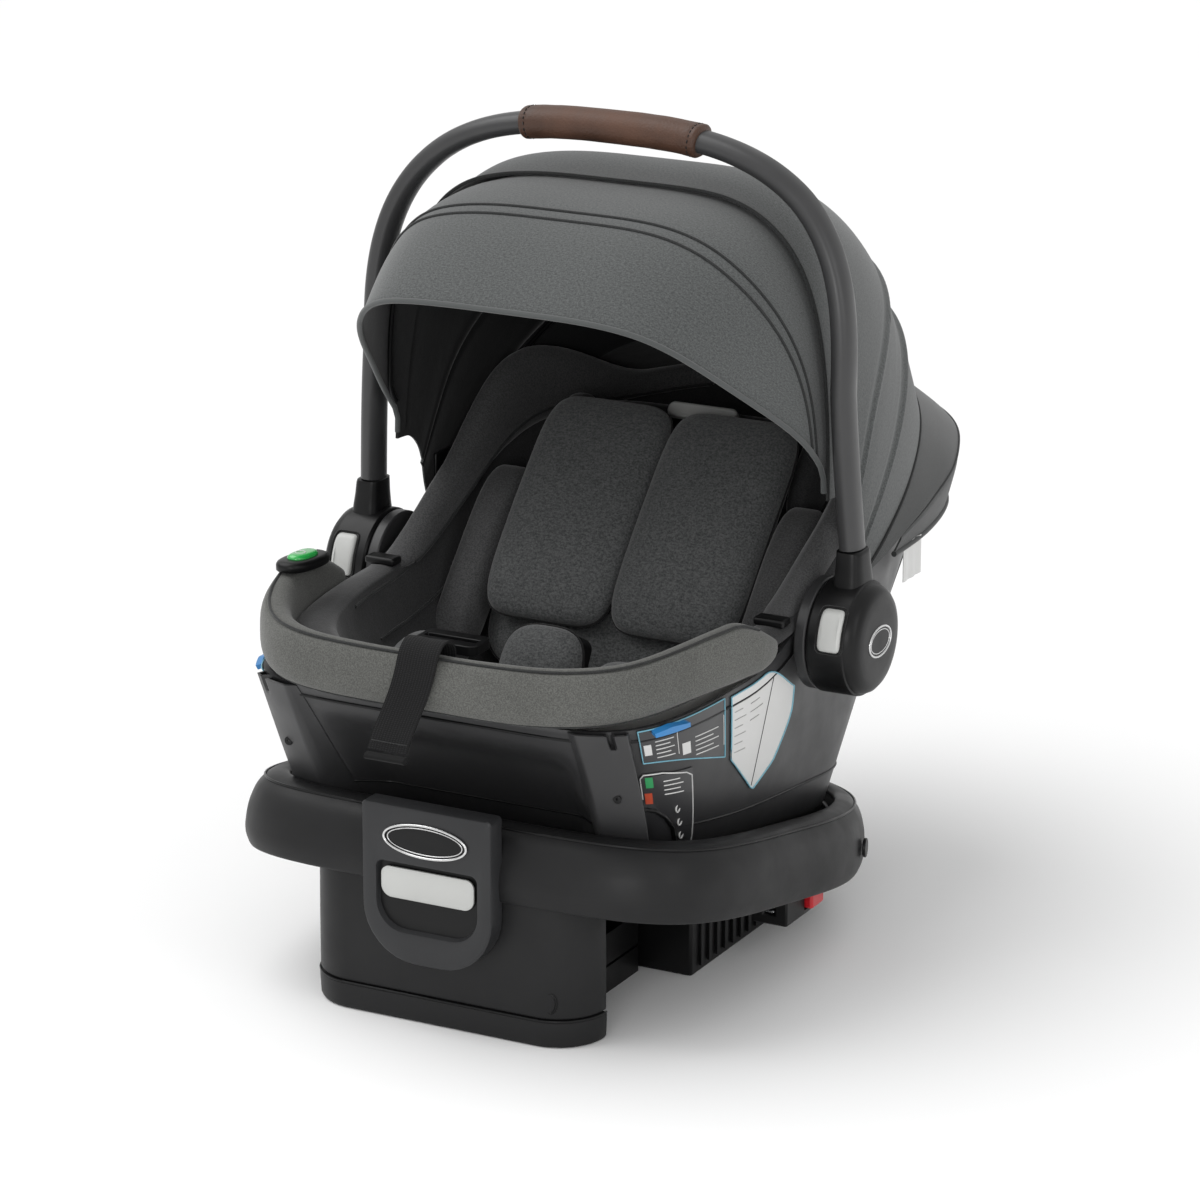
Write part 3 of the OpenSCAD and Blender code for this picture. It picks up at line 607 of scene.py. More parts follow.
def rrect(x0, x1, z0, z1, low_r, high_r, y, n=8):
    """Rounded rectangle in the X-Z plane with a fixed number of points."""
    pts = []
    for cx, cz, r, a0 in ((x1 - low_r, z0 + low_r, low_r, -90), (x1 - high_r, z1 - high_r, high_r, 0),
                          (x0 + high_r, z1 - high_r, high_r, 90), (x0 + low_r, z0 + low_r, low_r, 180)):
        for k in range(n + 1):
            a = math.radians(a0 + 90 * k / n)
            pts.append((cx + r * math.cos(a), y, cz + r * math.sin(a)))
    return pts


def front_panel():
    f = PANEL_FRONT
    rings = [rrect(-50, 50, 50, 163, 40, 3, f + 16), rrect(-50, 50, 50, 163, 40, 3, f + 1.4),
             rrect(-49.3, 49.3, 50.7, 162.3, 39.5, 3, f + 0.4), rrect(-48, 48, 52, 161, 38, 3, f),
             rrect(-40.5, 40.5, 70.5, 123.5, 22, 6, f), rrect(-39.4, 39.4, 71.8, 122.3, 21, 5.5, f + 0.6),
             rrect(-39, 39, 72.4, 121.8, 20.5, 5, f + 2), rrect(-36, 36, 76, 120, 18, 5, f + 15)]
    place(loft("front_panel_shape", rings, M["grey"], False, 35), "base", "grey_plastic", "front_panel")
    # Painted shade: a black plug fills the lever pocket, standing in for the shade inside the recess.
    inner = [rrect(-38.6, 38.6, 72.8, 121.4, 20, 5, f + 5), rrect(-36, 36, 76, 120, 18, 5, f + 13.5)]
    place(loft("panel_pocket_painted_shade", inner, M["black"], False, 35), "base", "dark_plastic")
    lever = [rrect(-35, 35, 97.4, 117.5, 7, 6, f + 4.6), rrect(-36, 36, 96, 118, 8, 6, f + 3.4),
             rrect(-36, 36, 96, 118, 8, 6, f + 1.8), rrect(-34.6, 34.6, 97.4, 116.8, 7, 5, f + 0.9)]
    place(loft("recline_lever_shape", lever, M["light"], False, 50), "recline_lever", "light_plastic",
          "recline_lever")
    face = f - 0.9
    rings = [[(31 * r * math.cos(c), face + dy, BADGE_Z + 10.6 * r * math.sin(c)) for c in turn(64)]
             for r, dy in ((1.0, 1.2), (1.0, 0.3), (0.93, 0), (0.5, -0.1), (0.05, -0.12))]
    place(loft("panel_badge_face", rings, M["black"], False, 50), "base", "dark_plastic", "panel_badge")
    for k, (a, b) in enumerate(((32, 11.4), (29, 9.2))):
        ring = [(a * math.cos(c), f - 1.1, BADGE_Z + b * math.sin(c)) for c in turn(80)]
        rim = tube("panel_badge_rim_%d" % k, ring, 0.95 - 0.5 * k, M["chrome"], True, 8)
        place(rim, "base", "bright_trim")


# ------------------------------------------------------------------ carrier shell
def shell_point(t, angle, out):
    a = mix(140, SHELL_HALF_W, t ** 0.7) + out
    f = mix(236, 302, t) + out
    r = mix(66, 306, t ** 1.15) + out
    x, y = plan_pt(a, f, r, 6.5, 2.7, angle)
    rim = 235 + 65 * smooth((y + 150) / 250)
    if y <= -180:
        deep = 22 * smooth((100 - abs(x)) / 30) * smooth((0.78 - t) / 0.25)
        y += deep
    return (x, y, mix(86 - 0.194 * y, rim, t))


def seat_pt(s, angle, grow):
    a = 145 - 57 * s ** 1.6 + grow
    f = 278 - 96 * s ** 1.3 + grow
    r = max(292 - 340 * s ** 0.85, 8 - 4 * s) + grow
    x, y = plan_pt(a, f, r, 3.2, 2.4, angle)
    return (x, y, mix(255 + 67 * smooth((y + 110) / 230), 152, s) - grow * s)


def on_shell(angle, t, out, side):
    x, y, z = shell_point(t, math.radians(angle), out)
    return (side * x, y, z)


def column_out(t, u):
    """How far a front corner column stands off the shell at a height share and a share of its width."""
    slot = 5 * smooth((t - 0.86) / 0.02) * smooth((0.06 - abs(u - 0.62)) / 0.015)
    return 0.5 + (4 + 17 * (1 - t)) * smooth(min(u, 1 - u) / 0.09) - slot


def shell():
    n = 240
    angles = [2 * math.pi * i / n for i in range(n)]
    lower = [[(x, y, z - 6) for x, y, z in (shell_point(0, a, -14) for a in angles)]]
    heights = (0, 0.02, *[k / 24 for k in range(1, 24)], 0.985)
    walls = [[shell_point(t, a, 0) for a in angles] for t in heights]
    lip = [[shell_point(1, a, o) for a in angles] for o in (-0.6, -SHELL_WALL)]
    inner = [[shell_point(t, a, -SHELL_WALL) for a in angles] for t in (0.9, 0.6, 0.3, 0.05)]
    floor = [[(x, y, z - 2) for x, y, z in (shell_point(0, a, -17) for a in angles)]]
    body = loft("carrier_shell_shape", lower + walls + lip + inner + floor, M["dark"], False, 50)
    place(body, "carrier", "dark_plastic", "carrier_shell")
    for k, (t, r) in enumerate(((0.9, 1.3), (0.16, 0.9))):
        line = [shell_point(t, a, 0.1) for a in angles]
        pipe("shell_seam_%d" % k, line, r, M["black"], True, 6, "carrier", "dark_plastic")
    for s in (-1, 1):
        rows = [[on_shell(mix(*COLUMN, u), t, column_out(t, u), s) for u in np.linspace(0, 1, 40)]
                for t in np.linspace(0.04, 0.985, 40)]
        name = "shell_pillar_" + ("right" if s > 0 else "left")
        pillar = cloth(name, rows, 1.4, M["dark"], M["dark"], s < 0)
        place(pillar, "carrier", "dark_plastic", *once(s, "shell_pillars"))
        for k, t in enumerate((0.45, 0.451)):
            x, y, z = on_shell(-66, t, column_out(t, 0.5) + 0.5, s)
            ring = [(x + s * (2.4 - k) * math.cos(w), y, z + (2.4 - k) * math.sin(w)) for w in turn(24)]
            screw = tube("shell_screw_%d_%d" % (s + 1, k), ring, 0.9, M["black"], True, 8)
            place(screw, "carrier", "steel", *(once(s, "shell_screws") if k == 0 else ()))
    for s in (-1, 1):
        side = math.radians(38 if s > 0 else 142)
        crease = [shell_point(t, side, 0.4) for t in np.linspace(0.05, 0.97, 24)]
        pipe("shell_crease_%d" % (s + 1), crease, 1.6, M["dark"], False, 8, "carrier", "dark_plastic")
    from_cad("belt_hooks", "carrier", "dark_plastic", M["black"], 2.0, segments=3)
    from_cad("release_handle", "release_handle", "dark_plastic", M["grey"], 2.0)
    from_cad("latch_hooks", "latch_hooks", "steel", M["steel"], 0.8)
    for s in (-1, 1):
        bearing = box_mesh("release_bearing_%d" % (s + 1), s * 53, 180, 176, 8, 22, 15, M["dark"])
        bevel(bearing, 2.5, 3, 35)
        place(bearing, "carrier", "dark_plastic")


def patch(name, a0, a1, t0, t1, low, high, mat, slot, nodes=(), nu=16, nv=8, side=1):
    """A film or plate lying on the shell's side; a0, t0 and t1 may be functions of the share along it."""
    angle = a0 if callable(a0) else lambda u: mix(a0, a1, u)
    t0f, t1f = (t0 if callable(t0) else lambda u: t0), (t1 if callable(t1) else lambda u: t1)
    across = [i / nu for i in range(nu + 1)]
    rows = [[on_shell(angle(u), mix(t0f(u), t1f(u), j / nv), high, side) for u in across]
            for j in range(nv + 1)]
    obj = cloth(name, rows, high - low, mat, mat, side < 0)
    return place(obj, "carrier", slot, *nodes)


def trace(name, path, r, mat, slot, side, closed=False):
    """A raised line on the shell's side through (angle, height share) points."""
    pts = [on_shell(mix(p[0], q[0], k / 6), mix(p[1], q[1], k / 6), 1.0, side)
           for p, q in zip(path, path[1:]) for k in range(6)]
    if not closed:
        pts.append(on_shell(*path[-1], 1.0, side))
    pipe(name, pts, r, mat, closed, 6, "carrier", slot)


def shield_angle(u):
    return -9.4 * (1 - u) ** 1.8 - 0.6


def shield_low(u):
    return float(np.interp(u, (0, 0.4, 0.7, 1), (0.53, 0.27, 0.38, 0.62)))


def shield_high(u):
    return 0.965 - 0.25 * smooth((u - 0.5) / 0.5)


def band_low(u):
    return 0.70 - 0.13 * u ** 2.2


def labels():
    share = np.linspace(0, 1, 25)
    for s, tag in SIDES:
        patch("label_shield_" + tag, shield_angle, None, shield_low, shield_high, 0.3, 0.9, M["label"],
              "label_film", once(s, "label_panels"), side=s, nu=24)
        outline = [(shield_angle(u), shield_low(u)) for u in share]
        outline += [(shield_angle(u), shield_high(u)) for u in share[::-1]]
        trace("label_edge_" + tag, outline + outline[:1], 0.6, M["label_blue"], "blue_plastic", s, True)
        fold = [(shield_angle(mix(0.62, 0.38, u)), mix(0.9, 0.3, u)) for u in share]
        trace("label_fold_" + tag, fold, 0.3, M["grey"], "grey_plastic", s)
        for q in range(7):
            for k in range(2 if q < 4 else 1):
                u0 = 0.05 + 0.25 * k
                low = 0.90 - 0.055 * q
                line = [(shield_angle(u0 + v), low) for v in (0, 0.09, 0.18 - 0.05 * (q % 2))]
                trace("label_line_%s_%d_%d" % (tag, q, k), line, 0.3, M["label_faint"], "label_film", s)
        patch("label_band_" + tag, *BAND, band_low, LABEL_TOP, 0.3, 0.9, M["label_dark"], "dark_plastic",
              side=s)
        outline = [(mix(*BAND, u), band_low(u)) for u in share]
        outline += [(mix(*BAND, u), LABEL_TOP) for u in share[::-1]]
        trace("label_band_edge_" + tag, outline + outline[:1], 0.5, M["label_blue"], "blue_plastic", s, True)
        wide = (BAND[1] - BAND[0]) / 2
        for k in range(2):
            a0 = BAND[0] + wide * (k + 0.08)
            low = band_low(0.25 + 0.5 * k) + 0.04
            patch("label_tile_%s_%d" % (tag, k), a0, a0 + wide * 0.2, low + 0.03, low + 0.12, 0.9, 1.15,
                  M["label"], "label_film", side=s, nu=6, nv=2)
            line = [(a0 + wide * 0.9, low - 0.01), (a0 + wide * 0.9, low + 0.2)]
            trace("label_divider_%s_%d" % (tag, k), line, 0.3, M["label"], "label_film", s)
            for e in range(5):
                row = low + 0.034 * e
                line = [(a0 + wide * 0.32, row), (a0 + wide * (0.8 - 0.1 * (e % 2)), row)]
                trace("label_text_%s_%d_%d" % (tag, k, e), line, 0.42, M["label"], "label_film", s)
        patch("label_low_" + tag, -52, -25, 0.0, 0.585, 0.3, 0.9, M["label_dark"], "dark_plastic", side=s)
        edge = [(-52, 0.4), (-52, 0.57), (-50, 0.6), (-40, 0.6), (-28, 0.56), (-25.5, 0.53), (-25.5, 0.01)]
        trace("label_low_edge_" + tag, edge, 0.5, M["label"], "label_film", s)
        for k, m in enumerate(("label_green", "label_red")):
            a0, low = -49.5 - 1.2 * k, 0.49 - 0.13 * k
            patch("label_mark_%s_%d" % (tag, k), a0, a0 + 4, low, low + 0.085, 0.9, 1.2, M[m], "label_film",
                  side=s, nu=4, nv=2)
        for e in range(4):
            row = 0.53 - 0.035 * e
            line = [(-40, row), (-31.5 + 1.5 * (e % 2), row)]
            trace("label_note_%s_%d" % (tag, e), line, 0.42, M["label"], "label_film", s)
        for k in range(3):
            x, y, z = on_shell(-33.5 + 0.9 * k, 0.3 - 0.1 * k, 1.0, s)
            ring = [(x, y + 2.6 * math.cos(c), z + 2.6 * math.sin(c)) for c in turn(24)]
            pipe("label_dot_%s_%d" % (tag, k), ring, 0.6, M["label"], True, 6, "carrier", "label_film")
        channel = [(-54, 0.31), (-50, 0.315), (-46, 0.3), (-41, 0.25), (-37, 0.17), (-35.5, 0.08),
                   (-35.5, 0.0)]
        trace("shell_channel_" + tag, channel, 1.7, M["black"], "dark_plastic", s)
        patch("belt_guide_" + tag, -42, -26, 0.93, lambda u: LABEL_TOP - 0.02 * abs(2 * u - 1), 0.8, 5.5,
              M["blue"], "blue_plastic", once(s, "belt_guides"), side=s)


# ------------------------------------------------------------------ padded rim and level
def rim_mid_z(y):
    return 257 + 8 * smooth((y + 300) / 100) - 10 * smooth((y + 185) / 60)


def rim_point(angle, c, puff=0.0):
    mid_y = plan_pt(RIM_HALF_W, RIM_REACH, RIM_REACH, RIM_E, RIM_E, angle)[1]
    half_t, half_h = 10 + puff, mix(20, 12, smooth((mid_y + 185) / 60)) + puff
    e = 2.6
    o = half_t * power(math.cos(c), 2 / e)
    x, y = plan_pt(RIM_HALF_W + o, RIM_REACH + o, RIM_REACH, RIM_E, RIM_E, angle)
    return (x, y, rim_mid_z(mid_y) + half_h * power(math.sin(c), 2 / e))


def rim():
    start, n, sides = math.radians(10.5), 260, 36
    rings = []
    angles = [-start - (math.pi - 2 * start) * j / n for j in range(n + 1)]
    for j, a in enumerate(angles):
        end = min(j, n - j)
        scale = min(1.0, math.sqrt(max(0.0, 1 - (1 - min(end, 9) / 9) ** 2)) * 0.98 + 0.02)
        ring = [np.array(rim_point(a, 2 * math.pi * k / sides)) for k in range(sides)]
        mid = sum(ring) / sides
        out = []
        for k, p in enumerate(ring):
            lump = noise.noise(Vector((p[0] * 0.02, p[1] * 0.02, p[2] * 0.05))) * 0.9
            d = p - mid
            seam = math.exp(-((math.degrees(2 * math.pi * k / sides) - 72) / 7) ** 2)
            out.append(mid + d * scale * (1 + (lump - 1.1 * seam) / max(8.0, np.linalg.norm(d))))
        rings.append(out)
    obj = place(loft("rim_cover_shape", rings, M["trim"], False, 80), "carrier", "trim_fabric", "rim_cover")
    seam = [rim_point(a, math.radians(72), 0.1) for a in angles[8:-8]]
    pipe("rim_piping_top", seam, 1.0, M["piping"], False, 8, "carrier", "trim_fabric")
    seam = [rim_point(a, math.radians(-62), 0.0) for a in angles[8:-8]]
    pipe("rim_seam_low", seam, 0.7, M["piping"], False, 6, "carrier", "trim_fabric")


def level():
    def pill(name, w, l, z0, z1, mat, slot, round_by, node):
        rings = []
        for z, inset in ((z0, 0.6), (z0 + 0.6, 0), (z1 - round_by, 0), (z1 - 0.4 * round_by, 0.35 * round_by),
                         (z1, round_by * 1.2), (z1 + 0.2, round_by * 2.2)):
            ring = []
            for k in range(48):
                c = 2 * math.pi * k / 48
                along = power(math.sin(c), 0.8)
                ring.append((LEVEL_X + (w - inset) * power(math.cos(c), 0.8), -200 + (l - inset) * along,
                             z - 0.05 * (along * l)))
            rings.append(ring)
        place(loft(name, rings, mat, False, 60), "carrier", slot, node)
    pill("level_housing_shape", 13, 26, 284.6, 291.4, M["black"], "dark_plastic", 2.4, "level_housing")
    pill("level_vial_shape", 7.6, 15, 290.4, 294.6, M["vial"], "green_fluid", 2.0, "level_vial")
    ring = [(LEVEL_X + 3.4 * math.cos(c), -203 + 3.4 * math.sin(c), 295.0) for c in turn(24)]
    pipe("level_bubble", ring, 0.45, M["label"], True, 6, "carrier", "label_film")


# ------------------------------------------------------------------ seat
def seat():
    n, rows = 200, 40
    angles = [2 * math.pi * i / n for i in range(n)]

    def puffed(s, a, grow):
        x, y, z = seat_pt(s, a, grow)
        soft = 1.6 * noise.noise(Vector((x * 0.012, y * 0.012, z * 0.02)))
        soft += 0.8 * noise.noise(Vector((x * 0.05, y * 0.05, z * 0.05)))
        return (x - 0.4 * soft * np.sign(x), y, z + 0.5 * soft)
    top = [[puffed(s, a, 0) for a in angles] for s in [1 - k / rows for k in range(rows + 1)]]

    def skirt(share, a, up):
        x0, y0, _ = puffed(0, a, 1.2)
        x1, y1 = plan_pt(166, 304, 313, 3.7, 2.4, a)
        x, y = mix(x0, x1, share), mix(y0, y1, share)
        return (x, y, 255 + 67 * smooth((y + 110) / 230) + up)
    roll = [[skirt(share, a, up) for a in angles]
            for share, up in ((0, 1.8), (0.2, 3.2), (0.5, 3.6), (0.82, 2.4), (1, -1.5), (0.99, -7),
                              (0.85, -1.2), (0.5, 0.4), (0.2, 0.2), (0.1, -1))]
    out = [[puffed(k / 10, a, 3.0) for a in angles] for k in range(1, 11)]
    obj = loft("seat_cover_shape", top + roll + out, M["seat"], False, 80)
    place(obj, "carrier", "dark_fabric", "seat_cover")
    from_cad("foam_liner", "carrier", "foam", M["foam"], 0.0)
    for side, tag in SIDES:
        wing = wing_rings(side)
        place(loft("seat_wing_" + tag, wing, M["wing"], False, 80), "carrier", "dark_fabric")
        inner = [ring[19] for ring in wing[3:-3]]
        pipe("seat_wing_piping_" + tag, inner, 1.3, M["piping"], False, 8, "carrier", "dark_fabric")
        for k, (s, a0, a1) in enumerate(((0.05, -28, -8), (0.34, -25, 66))):
            line = []
            for d in np.linspace(a0, a1, 90):
                x, y, z = puffed(s, math.radians(d), -0.7)
                line.append((side * x, y, z))
            edge = tube("wing_piping_%s_%d" % (tag, k), line, 1.3 - 0.3 * k, M["piping"], False, 8)
            place(edge, "carrier", "dark_fabric")


def wing_rings(side, n=90, sides=32):
    """Padded wing standing on the seat's rim beside the child, from the hub to the head end."""
    rings = []
    for j in range(n + 1):
        t = j / n
        a = math.radians(mix(-10, 66, t))
        up = 44 * smooth(t / 0.3) * (1 - 0.85 * smooth((t - 0.35) / 0.4)) + 3
        inward = 13 * smooth((t - 0.3) / 0.3)
        near = min(t, 1 - t)
        end = math.sqrt(max(0.0, 1 - (1 - near / 0.05) ** 2)) if near < 0.05 else 1.0
        ring = []
        for k in range(sides):
            c = 2 * math.pi * k / sides
            across, high = power(math.cos(c), 0.8), power(math.sin(c), 0.8)
            soft = 1.3 * noise.noise(Vector((t * 7, c, 2.0 + side)))
            thick = (11.5 * across * (1 - 0.25 * high) + soft) * end
            x, y, z = seat_pt(0, a, 6.5 - inward + thick + 3.5 * high * up / 44)
            ring.append((side * x, y, z + up / 2 - 1 + (up / 2 + 4) * high * end))
        rings.append(ring)
    return rings


def soft_pad(name, size, where, mat, body, slot, nodes=(), piping=1.2, fill=0.7, **kw):
    obj, edge = pillow(name, *size, where, mat, **kw)
    place(obj, body, slot, *nodes)
    if piping:
        pipe(name + "_piping", edge, piping, M["piping_dark"], True, 8, body, slot)


def on_back(x0, y0, z0, mirror=1):
    c, s = math.cos(RECLINE), math.sin(RECLINE)
    return lambda x, y, z: (mirror * (x0 + x), BACK_Y + (y0 + y) * c - (z0 + z) * s,
                            BACK_Z + (y0 + y) * s + (z0 + z) * c)


def contents():
    soft_pad("back_cushion_pad", (216, 150, 27), on_back(0, 28, -26.5), M["insert"], "carrier",
             "melange_fabric", ("back_cushion",), e=4, seed=3, lump=0.8)
    crown = lambda x, y, z: z + 2.2 * math.exp(-((y + 6) / 60) ** 2)
    for side, tag in SIDES:
        soft_pad("body_insert_%s_pad" % tag, (103, 180, 32), on_back(50.6, 76, -0.5, side), M["insert"],
                 "carrier", "melange_fabric", ("body_insert_" + tag,), e=6, shape=crown,
                 seed=side * 2.0 + 5, piping=1.0, steps=120, puff=0.4)
        soft_pad("side_bolster_" + tag, (36, 164, 36), on_back(119, 26, -12, side), M["wing"], "carrier",
                 "dark_fabric", once(side, "side_bolsters"), e=5, seed=side + 8.0, piping=0)
        soft_pad("hip_pad_" + tag, (44, 60, 20), tilted(-178, 215.5, math.radians(14), 76, side), M["insert"],
                 "carrier", "melange_fabric", once(side, "hip_pads"), e=2.8, seed=side + 11.0, piping=1.0)
        soft_pad("headrest_wing_" + tag, (26, 84, 42), on_back(100, 146, -47, side), M["seat"], "headrest",
                 "dark_fabric", e=3, seed=side + 14.0, piping=1.1)
    soft_pad("headrest_back", (228, 86, 24), on_back(0, 150, -47.6), M["seat"], "headrest", "dark_fabric",
             ("headrest",), e=4.5, seed=21, piping=1.1)
    from_cad("headrest_handle", "headrest", "light_plastic", M["light"], 2.0, segments=3)
    tag_rings = [[on_back(0, 172, depth)(27 * power(math.cos(c), 0.6), 6.5 * power(math.sin(c), 0.6), 0)
                  for c in turn(40)] for depth in (-26, -23)]
    place(loft("headrest_tag", tag_rings, M["black"], False, 30), "headrest", "dark_plastic")
    soft_pad("crotch_pad_shape", (64, 72, 23), tilted(-138.5, 207.8, math.radians(62)), M["insert"],
             "carrier", "melange_fabric", ("crotch_pad",), e=3, seed=25, piping=1.2)
    from_cad("buckle", "carrier", "dark_plastic", M["black"], 2.0, segments=3)
    from_cad("buckle_button", "buckle_button", "red_plastic", M["red"], 1.5, segments=3)
    from_cad("adjuster_lock", "carrier", "dark_plastic", M["black"], 1.5)


def straps():
    def lean(z):
        return -15 * smooth((286 - z) / 75)

    curve = [(-296, 262), (-297.5, 274), (-302, 283.2), (-310, 287.6), (-318, 286.2), (-324.2, 279),
             (-326.2, 266), (-327.6, 252), (-331.5, 238), (-337.5, 224), (-341.5, 215)]
    rows = [[(STRAP_X + lean(z) + STRAP_HALF * (i / 4 - 1), y, z + 0.25 * math.sin(i * 1.1))
             for i in range(9)] for y, z in np.asarray(catmull(curve, 6), float)]
    strap = cloth("adjuster_strap_shape", rows, 1.6, M["webbing"], M["webbing"], True)
    place(strap, "carrier", "webbing", "adjuster_strap")
    end = [(STRAP_X + lean(210.6) + STRAP_HALF * (k / 6 - 1), -342.6, 210.6) for k in range(13)]
    pipe("adjuster_strap_end", end, 4.2, M["webbing"], False, 12, "carrier", "webbing", across=2.4)
    for k in range(2):
        z = 220.4 - 7 * k
        line = [(STRAP_X + lean(z) + 13.5 * (j / 8 - 1), -339.2 + 3.0 * k, z) for j in range(17)]
        pipe("adjuster_stitch_%d" % k, line, 0.4, M["piping"], False, 6, "carrier", "webbing")


def catmull(points, per):
    """Smooth curve through the points, with per steps between two of them."""
    p = np.asarray(points, float)
    p = np.concatenate([[2 * p[0] - p[1]], p, [2 * p[-1] - p[-2]]])
    out = []
    for k in range(1, len(p) - 2):
        for j in range(per):
            t = j / per
            square = 2 * p[k - 1] - 5 * p[k] + 4 * p[k + 1] - p[k + 2]
            cube = 3 * p[k] - p[k - 1] - 3 * p[k + 1] + p[k + 2]
            out.append(0.5 * (2 * p[k] + (p[k + 1] - p[k - 1]) * t + square * t * t + cube * t ** 3))
    out.append(p[-2])
    return out


# ------------------------------------------------------------------ handle
LEAN = math.radians(2)
HUB_FACE, BUTTON_X, BUTTON_Z = 214.3, 194.5, 256
ARM_X0, ARM_X1, ARM_R0, ARM_R1, REACH, ARCH_E, ARM_SHARE = 193, 185, 40, 172, 339, 2.85, 0.3


def half_arch(w):
    """Sideways place and radius of the handle from its hub (w = 0) to its middle (w = 1)."""
    if w < ARM_SHARE:
        return mix(ARM_X0, ARM_X1, w / ARM_SHARE), mix(ARM_R0, ARM_R1, w / ARM_SHARE)
    q = math.pi / 2 * (w - ARM_SHARE) / (1 - ARM_SHARE)
    x = ARM_X1 * abs(math.cos(q)) ** (2 / ARCH_E)
    return x, ARM_R1 + (REACH - ARM_R1) * abs(math.sin(q)) ** (2 / ARCH_E)


def arch(u):
    if u <= 0.5:
        return half_arch(2 * u)
    x, r = half_arch(2 - 2 * u)
    return -x, r


def arch_ring(u, half_in, half_across, sides=32, e=2.3):
    a, b, p = np.array(arch(max(0, u - 0.006))), np.array(arch(min(1, u + 0.006))), arch(u)
    d = (b - a) / np.linalg.norm(b - a)
    nrm = (d[1], -d[0])
    bow = -8 * math.sin(math.pi * min(1.0, max(0.0, (p[1] - 62) / 240)))
    ring = []
    for k in range(sides):
        c = 2 * math.pi * k / sides
        i, o = half_in * power(math.cos(c), 2 / e), half_across * power(math.sin(c), 2 / e)
        y, z = bow + o, p[1] + nrm[1] * i
        ring.append((p[0] + nrm[0] * i, HUB[1] + y * math.cos(LEAN) + z * math.sin(LEAN),
                     HUB[2] - y * math.sin(LEAN) + z * math.cos(LEAN)))
    return ring


def on_grip(share):
    return mix(0.4445, 1 - 0.4445, share)


def handle():
    rings = [arch_ring(u, 8.0, 12.0) for u in np.linspace(0.0262, 0.9738, 300)]
    place(loft("handle_tube_shape", rings, M["tube"], False, 80), "handle", "grey_plastic", "handle_tube")
    n = 90
    rings = []
    for k in range(n + 1):
        t = k / n
        u = on_grip(t)
        edge = min(t, 1 - t)
        roll = math.sqrt(min(1.0, edge / 0.018)) if edge < 0.018 else 1.0
        groove = 0.5 * math.exp(-((edge - 0.055) / 0.008) ** 2)
        wave = 0.35 * noise.noise(Vector((t * 9, 1.3, 0)))
        rings.append(arch_ring(u, 8.3 + 3.3 * roll - groove + wave, 12.3 + 2.6 * roll - groove + wave))
    place(loft("handle_grip_shape", rings, M["leather"], False, 80), "handle", "leather", "handle_grip")
    stitches = []
    for share in (0.055, 0.945):
        ring = arch_ring(on_grip(share), 11.5, 14.8, 40)
        for k in range(0, 40, 2):
            stitches.append(tube("stitch", [ring[k], ring[k + 1]], 0.42, M["piping_dark"], False, 6))
    for k in range(2, 58):
        ends = [arch_ring(on_grip((k + more) / 60), 11.7, 15.0, 8)[2] for more in (0, 0.55)]
        stitches.append(tube("stitch", ends, 0.42, M["piping_dark"], False, 6))
    place(join("grip_stitches", stitches), "handle", "leather")
    for side, tag in SIDES:
        prof = [(176.2, 12.6), (176.2, 38.5), (177, 40.2), (178.2, 41), (203, 41), (204.4, 40.6), (205, 39.4),
                (206.5, 39.0), (210, 37.4), (212.6, 34.4), (213.8, 30), (214.2, 24), (HUB_FACE, 12),
                (HUB_FACE, 0.8)]
        rings = [[(side * x, HUB[1] + r * math.cos(c), HUB[2] + r * math.sin(c))
                  for c in turn(120)] for x, r in prof]
        cover = loft("hub_cover", rings, M["black"], False, 32)
        neck = []
        for z, grow, cx in ((14, 2.5, 193), (26, 2.2, 193), (36, 2.0, 193), (44, 1.2, 192.9),
                            (52, 0.5, 192.6), (60, 0.1, 192.3), (62.2, -0.2, 192.0), (62.8, -1.2, 192.0)):
            y0 = HUB[1] + z * math.sin(LEAN)
            neck.append([(side * (cx + (9.6 + grow) * power(math.cos(c), 0.62)),
                          y0 + (13 + grow * 1.6) * power(math.sin(c), 0.62), HUB[2] + z) for c in turn(48)])
        neck = loft("neck", neck, M["black"], False, 50)
        obj = join("hub_cover_" + tag, [cover, neck])
        place(obj, "handle", "dark_plastic", *once(side, "hub_covers"))
        for k, (a, b, r) in enumerate(((17.5, 10.5, 0.9), (15.0, 8.2, 0.45))):
            ring = [(side * (HUB_FACE + 0.05), HUB[1] + 1 + a * math.cos(c), HUB[2] - 1 + b * math.sin(c))
                    for c in turn(64)]
            rim = tube("hub_badge_rim_%s_%d" % (tag, k), ring, r, M["chrome"], True, 8)
            place(rim, "handle", "bright_trim", *(once(side, "hub_badges") if k == 0 else ()))
        ring = []
        for c in turn(64):
            z = BUTTON_Z + 15.2 * power(math.sin(c), 0.3)
            y = HUB[1] - math.sqrt(max(1.0, 41.2 ** 2 - (z - HUB[2]) ** 2))
            ring.append((side * (BUTTON_X + 10 * power(math.cos(c), 0.3)), y, z))
        pipe("button_gap_" + tag, ring, 0.8, M["piping_dark"], True, 6, "handle", "dark_plastic")
        rows = []
        for out, inset in ((-9.0, 0.2), (0.9, 0.0), (2.0, 0.9), (2.4, 2.4)):
            row = []
            for k in range(64):
                c = 2 * math.pi * k / 64
                x = BUTTON_X + (8.5 - inset) * power(math.cos(c), 0.32)
                z = BUTTON_Z + (14 - inset) * power(math.sin(c), 0.32)
                row.append((side * x, HUB[1] - math.sqrt((41 + out) ** 2 - (z - HUB[2]) ** 2), z))
            rows.append(row)
        place(loft("handle_button_%s_shape" % tag, rows, M["light"], False, 50), "handle_button_" + tag,
              "light_plastic", "handle_button_" + tag)
    from_cad("hub_mounts", "carrier", "dark_plastic", M["dark"], 1.2)
    from_cad("canopy_clips", "carrier", "dark_plastic", M["black"], 0.8)


